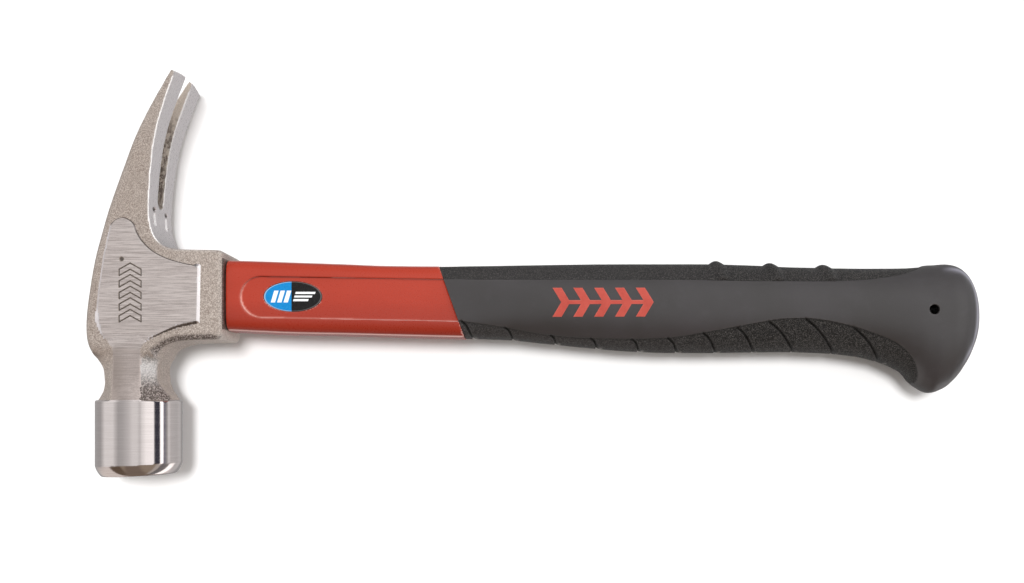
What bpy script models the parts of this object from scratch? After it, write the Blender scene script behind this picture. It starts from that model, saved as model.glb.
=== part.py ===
"""Rip-claw hammer: forged steel head with an adze eye, fibreglass core, moulded jacket, rubber grip.

The hammer lies on its side. +X runs along the handle from the head to the butt, +Y towards the
claw and +Z through the thickness. Shapes are drawn in millimetres in a drawing frame whose origin
is where the poll's axis crosses the eye's axis; one empty carries every piece and lifts the whole
hammer so that the centre of the underside of its box is at the world origin.
"""

import math

import bmesh
import bpy
import numpy as np
from mathutils import Matrix

MM = 0.001
GAP = 0.3  # clearance between pieces that touch on the real tool

# Poll and striking face
POLL_R = 15.9
POLL_TOP_Y = -39.6
POLL_RIM_Y = -64.7
FACE_Y = -68.4
FACE_R = 13.2
FACE_CANT = 0.040  # the face leans towards the handle, rise over run

# Head body
CHEEK_HALF = 13.3
PANEL_HALF = 13.9
CHEEK_ROUND = 3.2
COLLAR_X = 35.6
CLAW_ROUND = 0.6
NECK_FLAT = 5.1  # half width of the flat down each side of the neck
NECK_WALL = 0.52  # share of the neck's half thickness that its outer walls take up

# Claw: stations from inside the cheek to the tip.
# (outer x, outer y, inner x, inner y, half width)
CLAW = (
    (-13.6, 8.0, 10.0, 8.0, 13.0),
    (-12.0, 15.5, 10.2, 15.5, 13.0),
    (-10.2, 22.0, 9.4, 22.0, 13.1),
    (-7.6, 31.0, 8.1, 29.0, 13.3),
    (-4.3, 40.2, 8.4, 38.0, 13.7),
    (-0.7, 49.3, 9.2, 47.0, 14.2),
    (3.1, 58.0, 10.6, 56.5, 14.8),
    (7.8, 66.8, 12.9, 65.5, 15.3),
    (13.0, 75.4, 16.0, 74.5, 15.8),
    (17.3, 82.2, 18.7, 81.6, 16.2),
)
CLAW_CROWN = 1.6  # the tip stands this much further out at the slot than at its corners

# Nail slot: half width on the handle side and on the outer side, at the mouth and at the root
SLOT_MOUTH = (3.5, 3.1)
SLOT_ROOT = (3.0, 1.4)
SLOT_ROOT_Y = 33.6
SLOT_MOUTH_Y = 86.0

# Eye, core and adhesive: the core leans down the handle at this slope
CORE_Y0 = 0.8
CORE_SLOPE = -0.025
EYE_A, EYE_B, EYE_R = 12.3, 8.8, 5.0
CORE_A, CORE_B, CORE_R = 10.4, 6.9, 4.6
CORE_X = (-12.1, 283.0)
BOND_X = (-12.5, 36.9)
BOND_LIP = (13.0, 10.1)  # half height and half thickness of the lip at the socket's mouth

# Jacket: (x, top y, bottom y, half thickness)
JACKET = (
    (37.2, 13.3, -13.6, 10.5),
    (48.0, 13.0, -14.1, 10.5),
    (60.0, 12.6, -14.6, 10.5),
    (80.0, 11.9, -15.0, 10.6),
    (95.0, 11.3, -15.4, 10.8),
    (115.0, 11.1, -15.9, 11.0),
    (140.0, 11.1, -16.4, 11.2),
)
# The jacket's neck under the grip
JACKET_NECK = (
    (70.0, 9.6, -12.6, 9.3),
    (130.0, 9.1, -13.6, 9.5),
    (200.0, 8.6, -15.4, 9.9),
    (262.0, 7.4, -17.0, 10.0),
    (286.0, 6.4, -17.6, 9.8),
)
JACKET_POWER = 5.0
NECK_POWER = 3.0

# Recessed panel on each side of the jacket
RECESS_DEPTH = 0.7
RECESS_X0 = 49.2
RECESS_R = 7.6
RECESS_Y = (-1.0, -2.35)  # centre line at RECESS_X0 and at x = 125

# Oval label in a pocket in the recessed panel
LABEL_X, LABEL_Y = 60.9, -0.8
LABEL_A, LABEL_B = 10.85, 5.6
LABEL_T = 0.5
LABEL_Z = 9.8  # outer face of the label, from the mid-plane

# Slanted line where the grip meets the jacket: x at y = 0, and the change in x per unit of y
SLANT_X, SLANT_K = 119.3, -0.359

# Grip: (x, top y, bottom y, half thickness, section power)
GRIP = (
    (112.0, 11.4, -16.0, 11.3, 4.9),
    (125.0, 11.6, -16.2, 11.5, 4.2),
    (140.0, 12.0, -16.8, 12.0, 3.1),
    (155.0, 12.4, -18.3, 12.6, 2.5),
    (171.0, 12.7, -19.9, 13.0, 2.3),
    (186.0, 12.8, -21.2, 13.3, 2.3),
    (201.0, 12.8, -21.8, 13.5, 2.3),
    (216.0, 12.8, -21.9, 13.6, 2.3),
    (232.0, 12.4, -21.7, 13.6, 2.3),
    (250.0, 11.6, -21.6, 13.6, 2.3),
    (262.0, 11.3, -22.0, 13.8, 2.3),
    (274.0, 11.1, -23.2, 14.3, 2.3),
    (284.0, 11.1, -25.6, 14.9, 2.3),
    (292.0, 11.2, -29.2, 15.5, 2.3),
    (298.0, 11.6, -34.8, 15.9, 2.3),
    (302.4, 12.0, -36.8, 16.1, 2.3),
    (306.5, 12.3, -35.5, 16.1, 2.3),
    (310.4, 12.0, -32.3, 15.6, 2.3),
    (314.2, 9.9, -27.0, 14.0, 2.3),
    (317.2, 5.7, -21.3, 10.8, 2.3),
    (319.1, 0.0, -16.0, 6.6, 2.2),
)
BUTT_END = (319.9, -8.6)
BUMPS_X = (220.5, 240.8, 260.8)
BUMP_HALF, BUMP_H = 3.0, 1.1

# Hang hole through the butt
HOLE_X, HOLE_Y, HOLE_R = 299.0, -6.1, 1.8

# Inlay in the side of the grip: a row of chevrons on a thin spine
INLAY_X = (158.0, 195.5)
INLAY_Y = -3.2
INLAY_COUNT = 5
INLAY_H = 10.8
INLAY_ARM = 3.4
INLAY_LEAN = 3.2
INLAY_SPINE = 1.5
INLAY_T = 0.9


# ---------------------------------------------------------------- helpers


def clear_scene():
    for obj in list(bpy.data.objects):
        bpy.data.objects.remove(obj, do_unlink=True)
    for group in list(bpy.data.collections):
        bpy.data.collections.remove(group)


def material(name, colour, roughness, metallic=0.0):
    made = bpy.data.materials.new(name)
    made.use_nodes = True
    shader = made.node_tree.nodes["Principled BSDF"]
    shader.inputs["Base Color"].default_value = (*colour, 1.0)
    shader.inputs["Roughness"].default_value = roughness
    shader.inputs["Metallic"].default_value = metallic
    return made


def new_object(name, mesh, group, frame, surface=None):
    obj = bpy.data.objects.new(name, mesh)
    group.objects.link(obj)
    obj.parent = frame
    if surface:
        mesh.materials.append(surface)
    else:
        obj.hide_render = True
        obj.display_type = "WIRE"
    return obj


def loft(name, sections, pole=None):
    """A closed skin over rings of equal point count; flat ends, or a point at the far end."""
    bm = bmesh.new()
    rings = [[bm.verts.new([c * MM for c in p]) for p in ring] for ring in sections]
    count = len(rings[0])
    for low, high in zip(rings, rings[1:]):
        for i in range(count):
            j = (i + 1) % count
            bm.faces.new((low[i], low[j], high[j], high[i]))
    bm.faces.new(rings[0][::-1])
    if pole is None:
        bm.faces.new(rings[-1])
    else:
        tip = bm.verts.new([c * MM for c in pole])
        for i in range(count):
            bm.faces.new((rings[-1][i], rings[-1][(i + 1) % count], tip))
    bmesh.ops.recalc_face_normals(bm, faces=bm.faces[:])
    mesh = bpy.data.meshes.new(name)
    bm.to_mesh(mesh)
    bm.free()
    return mesh


def prism(name, outline, low, high):
    """A flat outline in X and Y, extruded from one Z to another."""
    bm = bmesh.new()
    face = bm.faces.new([bm.verts.new((x * MM, y * MM, low * MM)) for x, y in outline])
    out = bmesh.ops.extrude_face_region(bm, geom=[face])
    moved = [v for v in out["geom"] if isinstance(v, bmesh.types.BMVert)]
    bmesh.ops.translate(bm, vec=(0, 0, (high - low) * MM), verts=moved)
    bmesh.ops.recalc_face_normals(bm, faces=bm.faces[:])
    mesh = bpy.data.meshes.new(name)
    bm.to_mesh(mesh)
    bm.free()
    return mesh


def cylinder(name, radius, low, high, x, y, segments=40):
    bm = bmesh.new()
    place = Matrix.Translation((x * MM, y * MM, (low + high) / 2 * MM))
    bmesh.ops.create_cone(
        bm, cap_ends=True, segments=segments, radius1=radius * MM, radius2=radius * MM,
        depth=(high - low) * MM, matrix=place,
    )
    mesh = bpy.data.meshes.new(name)
    bm.to_mesh(mesh)
    bm.free()
    return mesh


def boolean(obj, other, operation):
    step = obj.modifiers.new(other.name, "BOOLEAN")
    step.operation = operation
    step.solver = "EXACT"
    step.object = other


def bevel(obj, width, segments, degrees):
    step = obj.modifiers.new("rounded_edges", "BEVEL")
    step.width = width * MM
    step.segments = segments
    step.limit_method = "ANGLE"
    step.angle_limit = math.radians(degrees)


def smooth(points, per_span=4):
    """A Catmull-Rom curve through the points."""
    pts = np.array(points, float)
    ends = np.vstack([2 * pts[0] - pts[1], pts, 2 * pts[-1] - pts[-2]])
    curve = []
    for i in range(1, len(ends) - 2):
        a, b, c, d = ends[i - 1 : i + 3]
        for k in range(per_span):
            t = k / per_span
            curve.append(
                0.5 * (2 * b + (c - a) * t + (2 * a - 5 * b + 4 * c - d) * t * t
                       + (3 * b - a - 3 * c + d) * t ** 3)
            )
    curve.append(pts[-1])
    return np.array(curve)


def rounded_ring(x, y, a, b, r, per_corner=5):
    """A rounded rectangle across the handle: half height a along Y, half thickness b along Z."""
    ring = []
    for quarter, (sy, sz) in enumerate(((1, 1), (-1, 1), (-1, -1), (1, -1))):
        for k in range(per_corner):
            turn = math.radians(90 * quarter + 90 * k / (per_corner - 1))
            ring.append((x, y + sy * (a - r) + r * math.cos(turn),
                         sz * (b - r) + r * math.sin(turn)))
    return ring


def oval_ring(x, top, bottom, b, power, count=32):
    """A superellipse across the handle, between a top and a bottom height."""
    a, y = (top - bottom) / 2, (top + bottom) / 2
    ring = []
    for k in range(count):
        turn = 2 * math.pi * (k + 0.5) / count
        c, s = math.cos(turn), math.sin(turn)
        ring.append((x, y + a * math.copysign(abs(c) ** (2 / power), c),
                     b * math.copysign(abs(s) ** (2 / power), s)))
    return ring


def core_y(x):
    return CORE_Y0 + CORE_SLOPE * x


def stations(table, x):
    """The row of a table of sections at x, between its own rows."""
    rows = np.array(table, float)
    return [float(np.interp(x, rows[:, 0], rows[:, k])) for k in range(1, rows.shape[1])]


def slanted_block(name, side, offset):
    """A block on one side of the slanted line between jacket and grip (side 1: the butt's)."""
    def at(y):
        return SLANT_X + SLANT_K * y + offset
    far = 420.0 if side > 0 else -60.0
    return prism(name, [(at(40), 40), (far, 40), (far, -60), (at(-60), -60)], -40, 40)


# ---------------------------------------------------------------- scene

clear_scene()
scene = bpy.context.scene
parts = bpy.data.collections.new("claw_hammer")
cutters = bpy.data.collections.new("cutters")
scene.collection.children.link(parts)
scene.collection.children.link(cutters)
frame = bpy.data.objects.new("claw_hammer_frame", None)
parts.objects.link(frame)

steel = material("forged_steel", (0.40, 0.36, 0.33), 0.38, 1.0)
adhesive = material("epoxy", (0.020, 0.016, 0.014), 0.35)
fibre = material("fibreglass", (0.55, 0.42, 0.20), 0.45)
red = material("red_polymer", (0.50, 0.050, 0.028), 0.38)
rubber = material("black_rubber", (0.050, 0.046, 0.046), 0.60)
inlay_red = material("red_inlay", (0.62, 0.10, 0.08), 0.50)
label_blue = material("label_film", (0.010, 0.22, 0.58), 0.30)


# ---------------------------------------------------------------- head

upper = smooth([(-13.0, 12.0), (-14.6, 3.0), (-15.6, -6.0), (-16.0, -13.5), (-15.2, -18.6),
                (-13.4, -22.0)], 3)
lower = smooth([(9.9, -23.4), (11.4, -20.9), (13.6, -19.4), (18.2, -17.9), (25.5, -17.2),
                (COLLAR_X, -17.0)], 3)
crest = smooth([(COLLAR_X, 16.2), (26.0, 16.3), (18.0, 16.6), (13.7, 17.8), (10.6, 20.8),
                (8.9, 25.0)], 3)
back = [(-8.8, 25.0), (-10.9, 19.0)]
outline = [tuple(p) for p in upper] + [tuple(p) for p in lower] + [tuple(p) for p in crest] + back
head = new_object("head", prism("head", outline, -CHEEK_HALF, CHEEK_HALF), parts, frame, steel)
bevel(head, CHEEK_ROUND, 3, 50)

# The claw's two tines as one tapering bar, then the nail slot
rows = smooth(CLAW, 2)
bar = [[(xo, yo, h), (xi, yi, h), (xi, yi, -h), (xo, yo, -h)] for xo, yo, xi, yi, h in rows]
claw = new_object("claw_bar", loft("claw_bar", bar), cutters, frame)
bevel(claw, CLAW_ROUND, 2, 50)

# The crown at the tip: a slim wedge each side of the mid-plane rises to the slot
lean = math.atan2(rows[-1][0] - rows[-3][0], rows[-1][1] - rows[-3][1])
tip_out, tip_in = rows[-1][0:2], rows[-1][2:4]
grow = np.array((math.sin(lean), math.cos(lean))) * CLAW_CROWN
crown_rings = []
for z, share in ((-15.6, 0.0), (-10.0, 0.62), (-4.0, 1.0), (4.0, 1.0), (10.0, 0.62), (15.6, 0.0)):
    lift = grow * share
    base = np.array((math.sin(lean), math.cos(lean))) * -3.0
    crown_rings.append([
        (tip_out[0] + base[0] + 0.25, tip_out[1] + base[1], z),
        (tip_out[0] + lift[0], tip_out[1] + lift[1], z),
        (tip_in[0] + lift[0], tip_in[1] + lift[1], z),
        (tip_in[0] + base[0] - 0.25, tip_in[1] + base[1], z),
    ])
crown = new_object("claw_crown", loft("claw_crown", crown_rings), cutters, frame)

# The neck: an eight-sided bar that waists in between the cheeks and the poll.
# (y, left x, right x, half thickness)
waist = smooth([(-12.0, -14.0, 14.5, 13.0), (-19.5, -14.9, 11.8, 13.0), (-24.0, -12.9, 10.1, 13.2),
                (-28.5, -10.7, 9.5, 13.6), (-32.0, -10.4, 9.8, 14.0), (-35.5, -11.5, 11.5, 14.5),
                (-38.2, -13.2, 13.6, 15.0), (-40.4, -14.3, 14.6, 15.3)], 2)
neck_rings = []
for y, left, right, h in waist:
    flat, wall = NECK_FLAT, h * NECK_WALL
    neck_rings.append([(-flat, y, h), (flat, y, h), (right, y, wall), (right, y, -wall),
                       (flat, y, -h), (-flat, y, -h), (left, y, -wall), (left, y, wall)])
neck_bar = new_object("neck_bar", loft("neck_bar", neck_rings), cutters, frame)

# The poll: rings about the Y axis, the lower ones canted with the striking face
rings = []
for y, r, cant in ((POLL_TOP_Y + 3.4, POLL_R - 4.2, 0.0), (POLL_TOP_Y, POLL_R - 0.35, 0.0),
                   (POLL_TOP_Y - 0.5, POLL_R, 0.0), (POLL_RIM_Y, POLL_R, 0.85),
                   (POLL_RIM_Y - 1.8, POLL_R - 0.75, 1.0), (FACE_Y, FACE_R, 1.0)):
    turn = [2 * math.pi * k / 56 for k in range(56)]
    rings.append([(r * math.cos(t), y + cant * FACE_CANT * r * math.cos(t), r * math.sin(t))
                  for t in turn])
poll = new_object("poll_drum", loft("poll_drum", rings), cutters, frame)

# The ground cheek panel stands a little proud on both sides
panel_outline = (
    [tuple(p) for p in smooth([(26.4, 9.9), (20.0, 11.2), (14.8, 12.8), (9.6, 15.5),
                               (5.6, 19.3), (3.5, 22.8), (2.2, 26.0), (-0.8, 27.8),
                               (-3.6, 27.3), (-5.4, 25.5)], 2)]
    + [tuple(p) for p in smooth([(-8.0, 14.0), (-10.0, 0.0), (-10.4, -8.0), (-9.0, -15.0),
                                 (-6.2, -20.0)], 2)]
    + [tuple(p) for p in smooth([(5.6, -20.0), (7.6, -17.2), (12.6, -14.5), (19.0, -11.8),
                                 (26.0, -10.2)], 2)]
)
panel = new_object("cheek_panel", prism("cheek_panel", panel_outline, -PANEL_HALF, PANEL_HALF),
                   cutters, frame)

# The eye runs right through the head, along the core
eye = new_object("eye", loft("eye", [
    rounded_ring(x, core_y(x), EYE_A, EYE_B, EYE_R) for x in (-30.0, 50.0)]), cutters, frame)

# The nail slot: a tapered wedge, wider on the handle's side, with a round root
slot_rings = []
for y, (wide, slim) in ((SLOT_ROOT_Y, (0.9, 0.5)), (SLOT_ROOT_Y + 1.2, (2.3, 1.3)),
                        (SLOT_ROOT_Y + 3.2, SLOT_ROOT), (SLOT_MOUTH_Y, SLOT_MOUTH)):
    slot_rings.append([(-40.0 + y * 0.4, y, slim), (10.5 + (y - 33.6) * 0.26, y, wide),
                       (10.5 + (y - 33.6) * 0.26, y, -wide), (-40.0 + y * 0.4, y, -slim)])
slot = new_object("nail_slot", loft("nail_slot", slot_rings), cutters, frame)

for other in (claw, crown, neck_bar, poll, panel):
    boolean(head, other, "UNION")
for other in (eye, slot):
    boolean(head, other, "DIFFERENCE")


# ---------------------------------------------------------------- core and adhesive

core = new_object("core_rod", loft("core_rod", [
    rounded_ring(x, core_y(x), CORE_A, CORE_B, CORE_R) for x in CORE_X]), parts, frame, fibre)

lip_x = COLLAR_X + GAP
bond = new_object("epoxy_bond", loft("epoxy_bond", [
    rounded_ring(BOND_X[0], core_y(BOND_X[0]), EYE_A - GAP, EYE_B - GAP, EYE_R - GAP),
    rounded_ring(lip_x, core_y(lip_x), EYE_A - GAP, EYE_B - GAP, EYE_R - GAP),
    rounded_ring(lip_x, core_y(lip_x), BOND_LIP[0], BOND_LIP[1], EYE_R),
    rounded_ring(BOND_X[1], core_y(BOND_X[1]), BOND_LIP[0], BOND_LIP[1], EYE_R),
]), parts, frame, adhesive)
core_room = new_object("core_room", loft("core_room", [
    rounded_ring(x, core_y(x), CORE_A + GAP, CORE_B + GAP, CORE_R + GAP)
    for x in (-40.0, CORE_X[1] + GAP)]), cutters, frame)
boolean(bond, core_room, "DIFFERENCE")


# ---------------------------------------------------------------- jacket

jacket = new_object("handle_jacket", loft("handle_jacket", [
    oval_ring(x, *stations(JACKET, x)[:2], stations(JACKET, x)[2], JACKET_POWER)
    for x in (37.2, 60.0, 80.0, 95.0, 115.0, 140.0)]), parts, frame, red)
beyond = new_object("grip_side", slanted_block("grip_side", 1, 0.0), cutters, frame)
neck = new_object("jacket_neck", loft("jacket_neck", [
    oval_ring(x, top, bottom, b, NECK_POWER) for x, top, bottom, b in JACKET_NECK
]), cutters, frame)
boolean(jacket, beyond, "DIFFERENCE")
boolean(jacket, neck, "UNION")
boolean(jacket, core_room, "DIFFERENCE")


def recess_outline(grow=0.0):
    """A long panel with a round end towards the head and open past the slanted line."""
    r = RECESS_R + grow
    fall = (RECESS_Y[1] - RECESS_Y[0]) / (125.0 - RECESS_X0)
    end = [(RECESS_X0 + r * math.cos(t), RECESS_Y[0] + r * math.sin(t))
           for t in np.linspace(math.radians(90), math.radians(270), 13)]
    x1 = 134.0
    return end + [(x1, RECESS_Y[0] + fall * (x1 - RECESS_X0) - r),
                  (x1, RECESS_Y[0] + fall * (x1 - RECESS_X0) + r)]


def oval(cx, cy, a, b, count=36):
    return [(cx + a * math.cos(t), cy + b * math.sin(t))
            for t in np.linspace(0, 2 * math.pi, count, endpoint=False)]


for side, word in ((1, "front"), (-1, "back")):
    low, high = sorted((side * (10.5 - RECESS_DEPTH), side * 30.0))
    recess = new_object("recess_" + word, prism("recess_" + word, recess_outline(), low, high),
                        cutters, frame)
    only_jacket = new_object("recess_end_" + word, slanted_block("recess_end_" + word, 1, -0.6),
                             cutters, frame)
    boolean(recess, only_jacket, "DIFFERENCE")
    boolean(jacket, recess, "DIFFERENCE")
    floor_z = LABEL_Z - LABEL_T - GAP
    low, high = sorted((side * floor_z, side * 30.0))
    pocket = new_object("label_pocket_" + word, prism(
        "label_pocket_" + word, oval(LABEL_X, LABEL_Y, LABEL_A + GAP, LABEL_B + GAP), low, high),
        cutters, frame)
    boolean(jacket, pocket, "DIFFERENCE")
    low, high = sorted((side * (LABEL_Z - LABEL_T), side * LABEL_Z))
    new_object("label_" + word, prism(
        "label_" + word, oval(LABEL_X, LABEL_Y, LABEL_A, LABEL_B), low, high),
        parts, frame, label_blue)


# ---------------------------------------------------------------- grip

grip_x = sorted(
    [row[0] for row in GRIP if not any(abs(row[0] - b) < 4 for b in BUMPS_X)]
    + [b + k * BUMP_HALF for b in BUMPS_X for k in (-1.0, -0.5, 0.0, 0.5, 1.0)]
)
sections = []
for x in grip_x:
    top, bottom, b, power = stations(GRIP, x)
    for centre in BUMPS_X:
        off = abs(x - centre) / BUMP_HALF
        if off < 1:
            top += BUMP_H * math.cos(off * math.pi / 2) ** 2
    sections.append(oval_ring(x, top, bottom, b, power))
grip = new_object("grip", loft("grip", sections, pole=(*BUTT_END, 0.0)), parts, frame, rubber)
before = new_object("jacket_side", slanted_block("jacket_side", -1, GAP), cutters, frame)
boolean(grip, before, "DIFFERENCE")
cavity_rows = [(x, top + GAP, bottom - GAP, b + GAP) for x, top, bottom, b in JACKET_NECK]
cavity_rows[-1] = (cavity_rows[-1][0] + GAP, *cavity_rows[-1][1:])
cavity = new_object("grip_cavity", loft("grip_cavity", [
    oval_ring(x, top, bottom, b, NECK_POWER) for x, top, bottom, b in cavity_rows
]), cutters, frame)
boolean(grip, cavity, "DIFFERENCE")
hole = new_object("hang_hole", cylinder("hang_hole", HOLE_R, -30, 30, HOLE_X, HOLE_Y, 28),
                  cutters, frame)
boolean(grip, hole, "DIFFERENCE")


def chevron(x, grow=0.0):
    """One arrow-shaped bar, leaning towards the butt at half height."""
    half, arm, lean = INLAY_H / 2 + grow, INLAY_ARM + 2 * grow, INLAY_LEAN
    x -= grow
    y = INLAY_Y
    return [(x, y + half), (x + arm, y + half), (x + arm + lean, y), (x + arm, y - half),
            (x, y - half), (x + lean, y)]


def inlay_piece(name, low, high, grow, group, surface=None):
    """Chevrons and their spine, joined into one body."""
    pitch = (INLAY_X[1] - INLAY_X[0] - INLAY_ARM - INLAY_LEAN) / (INLAY_COUNT - 1)
    half = INLAY_SPINE / 2 + grow
    x0, x1 = INLAY_X[0] + INLAY_LEAN + 1.0, INLAY_X[1] - 1.5
    spine = [(x0 - grow, INLAY_Y - half), (x1 + grow, INLAY_Y - half),
             (x1 + grow, INLAY_Y + half), (x0 - grow, INLAY_Y + half)]
    made = new_object(name, prism(name, spine, low, high), group, frame, surface)
    for k in range(INLAY_COUNT):
        label = f"{name}_chevron_{k}"
        bar = new_object(label, prism(label, chevron(INLAY_X[0] + k * pitch, grow), low, high),
                         cutters, frame)
        boolean(made, bar, "UNION")
    return made


def grip_shell(name, inset):
    """The middle of the grip as a plain body, drawn in from its surface by the inset."""
    made = []
    for x in (146.0, 155.0, 171.0, 186.0, 201.0, 208.0):
        top, bottom, b, power = stations(GRIP, x)
        made.append(oval_ring(x, top - inset, bottom + inset, b - inset, power, 64))
    return new_object(name, loft(name, made), cutters, frame)


skin = grip_shell("inlay_skin", 0.1)
under = grip_shell("inlay_under", 0.1 + INLAY_T)
floor = grip_shell("inlay_floor", 0.1 + INLAY_T + GAP)
for side, word in ((1, "front"), (-1, "back")):
    low, high = sorted((side * 4.0, side * 30.0))
    room = inlay_piece("inlay_room_" + word, low, high, GAP, cutters)
    boolean(room, floor, "DIFFERENCE")
    boolean(grip, room, "DIFFERENCE")
    inlay = inlay_piece("grip_inlay_" + word, low, high, 0.0, parts, inlay_red)
    boolean(inlay, skin, "INTERSECT")
    boolean(inlay, under, "DIFFERENCE")


# ---------------------------------------------------------------- stand the hammer on z = 0

bpy.context.view_layer.update()
graph = bpy.context.evaluated_depsgraph_get()
lows, highs = [], []
for obj in parts.objects:
    if obj.type != "MESH":
        continue
    made = obj.evaluated_get(graph)
    mesh = made.to_mesh()
    points = np.empty(len(mesh.vertices) * 3, np.float32)
    mesh.vertices.foreach_get("co", points)
    points = points.reshape(-1, 3)
    lows.append(points.min(axis=0))
    highs.append(points.max(axis=0))
    made.to_mesh_clear()
    obj.data.shade_smooth()
    obj.data.set_sharp_from_angle(angle=math.radians(35))
low, high = np.min(lows, axis=0), np.max(highs, axis=0)
frame.location = (-(low[0] + high[0]) / 2, -(low[1] + high[1]) / 2, -low[2])
bpy.context.view_layer.update()
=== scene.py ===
"""Looks of the rip-claw hammer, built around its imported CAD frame.

The shapes are written as signed fields in millimetres, in a drawing frame whose origin is where the
poll's axis crosses the eye's axis (+X to the butt, +Y to the claw, +Z to the upper side), and
meshed here by dual contouring, which keeps creases crisp. All places are shifted onto the frame's
own nodes before anything is made.
"""

import math

import bmesh
import bpy
import numpy as np
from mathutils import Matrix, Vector


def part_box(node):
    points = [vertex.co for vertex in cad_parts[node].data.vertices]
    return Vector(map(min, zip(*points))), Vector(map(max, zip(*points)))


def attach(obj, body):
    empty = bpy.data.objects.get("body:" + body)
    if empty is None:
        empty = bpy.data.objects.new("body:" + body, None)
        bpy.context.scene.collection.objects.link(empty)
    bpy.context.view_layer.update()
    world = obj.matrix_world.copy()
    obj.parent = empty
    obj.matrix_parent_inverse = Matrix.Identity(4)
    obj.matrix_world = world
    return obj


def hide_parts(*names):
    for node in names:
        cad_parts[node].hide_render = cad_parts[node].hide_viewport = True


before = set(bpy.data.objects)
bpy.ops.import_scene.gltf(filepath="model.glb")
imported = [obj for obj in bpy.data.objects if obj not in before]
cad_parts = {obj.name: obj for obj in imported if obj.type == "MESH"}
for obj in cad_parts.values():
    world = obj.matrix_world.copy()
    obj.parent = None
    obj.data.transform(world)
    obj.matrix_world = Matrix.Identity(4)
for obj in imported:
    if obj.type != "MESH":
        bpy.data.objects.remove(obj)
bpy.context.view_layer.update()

MM = 0.001

# The drawing frame's origin in the row frame: the butt's end, the label's middle and its outer face
_grip_low, _grip_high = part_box("grip")
_label_low, _label_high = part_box("label_front")
ORIGIN = np.array((
    _grip_high.x / MM - 319.9,
    (_label_low.y + _label_high.y) / 2 / MM + 0.8,
    _label_high.z / MM - 9.8,
))

# ------------------------------------------------------------------ dimensions (drawing frame, mm)

POLL_R, POLL_TOP_Y, POLL_RIM_Y, FACE_Y, FACE_R = 15.9, -39.6, -64.7, -68.4, 13.2
FACE_CANT = 0.040
CHEEK_HALF, PANEL_HALF = 13.3, 13.9
COLLAR_X = 35.6
NECK_FLAT, NECK_WALL = 5.1, (0.62, 0.36)
CLAW_CROWN = 1.6
SLOT_MOUTH, SLOT_ROOT = (3.5, 3.1), (3.0, 1.4)
SLOT_ROOT_Y, SLOT_MOUTH_Y = 33.6, 86.0
CORE_Y0, CORE_SLOPE = 0.8, -0.025
EYE_A, EYE_B, EYE_R = 12.3, 8.8, 5.0
CORE_A, CORE_B, CORE_R = 10.4, 6.9, 4.6
BOND_LIP = (13.0, 10.1)
JACKET_POWER = 5.0
RECESS_X0, RECESS_R, RECESS_Y, RECESS_Z = 49.2, 7.6, (-1.0, -2.35), 9.8
LABEL_X, LABEL_Y, LABEL_A, LABEL_B, LABEL_Z = 60.9, -0.8, 10.85, 5.6, 9.8
SLANT_X, SLANT_K = 119.3, -0.359
BUTT_END = (319.9, -8.6)
HOLE_X, HOLE_Y, HOLE_R = 299.0, -6.1, 1.8

# Outline of the forging without poll and neck: back edge from the tip down, then up the other side
BACK_EDGE = (
    (20.5, 87.4), (17.3, 82.2), (13.0, 75.4), (7.8, 66.8), (3.1, 58.0), (-0.7, 49.3), (-4.3, 40.2),
    (-7.6, 31.0), (-10.2, 22.0), (-12.2, 14.5), (-13.7, 7.0), (-14.7, 0.5), (-15.6, -6.5),
    (-15.9, -13.5), (-15.2, -18.6), (-13.4, -22.0),
)
UNDER_EDGE = ((9.9, -23.4), (10.5, -22.1), (11.7, -20.7), (13.6, -19.4), (17.4, -17.95),
              (22.0, -17.35), (32.8, -17.0), (34.4, -16.6), (35.3, -15.4), (COLLAR_X, -13.4))
INNER_EDGE = (
    (COLLAR_X, 12.5), (35.5, 14.9), (34.8, 15.9), (33.2, 16.2), (26.0, 16.3), (18.0, 16.6), (13.7, 17.8), (10.7, 20.6), (9.1, 24.0),
    (8.3, 28.0), (8.15, 32.0), (8.4, 38.0), (9.2, 47.0), (10.6, 56.5), (12.9, 65.5), (16.0, 74.5),
    (18.7, 81.6), (20.9, 87.1),
)
PANEL_TOP = ((26.4, 9.9), (20.0, 11.2), (14.8, 12.8), (9.6, 15.5), (5.6, 19.3), (3.5, 22.8),
             (2.2, 26.0), (-0.8, 27.8), (-3.6, 27.3), (-5.4, 25.5))
PANEL_BACK = ((-8.0, 14.0), (-10.0, 0.0), (-10.4, -8.0), (-9.0, -14.6), (-5.9, -19.5))
PANEL_LOW = ((5.3, -19.5), (7.6, -17.2), (12.6, -14.5), (19.0, -11.8), (26.0, -10.2))

# Along the forging: (y, half thickness)
BLOCK_HALF = ((-30, 13.3), (25, 13.3), (31, 13.35), (40.2, 13.7), (48.5, 14.2), (57.5, 14.8),
              (66.3, 15.3), (75, 15.8), (82, 16.2), (92, 16.8))
# Across the claw: (y, middle x, thickness)
CLAW_MID = ((8, -2.4, 23.0), (22, -0.5, 20.0), (31, 0.2, 15.7), (40, 2.0, 12.7), (48, 4.2, 9.9),
            (57, 6.8, 7.5), (66, 10.2, 5.1), (75, 14.5, 3.0), (82, 18.0, 1.5), (90, 21.5, 0.4))
# The neck: (y, left x, right x, half thickness)
NECK = ((-12.0, -14.0, 14.5, 13.3), (-19.5, -14.9, 11.8, 13.28), (-24.0, -12.9, 10.1, 13.4),
        (-28.5, -10.7, 9.5, 13.75), (-32.0, -10.4, 9.8, 14.2), (-35.5, -11.5, 11.5, 14.85),
        (-38.2, -13.2, 13.6, 15.4), (-40.4, -14.3, 14.6, 15.86), (-44.0, -14.3, 14.6, 15.86))

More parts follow.
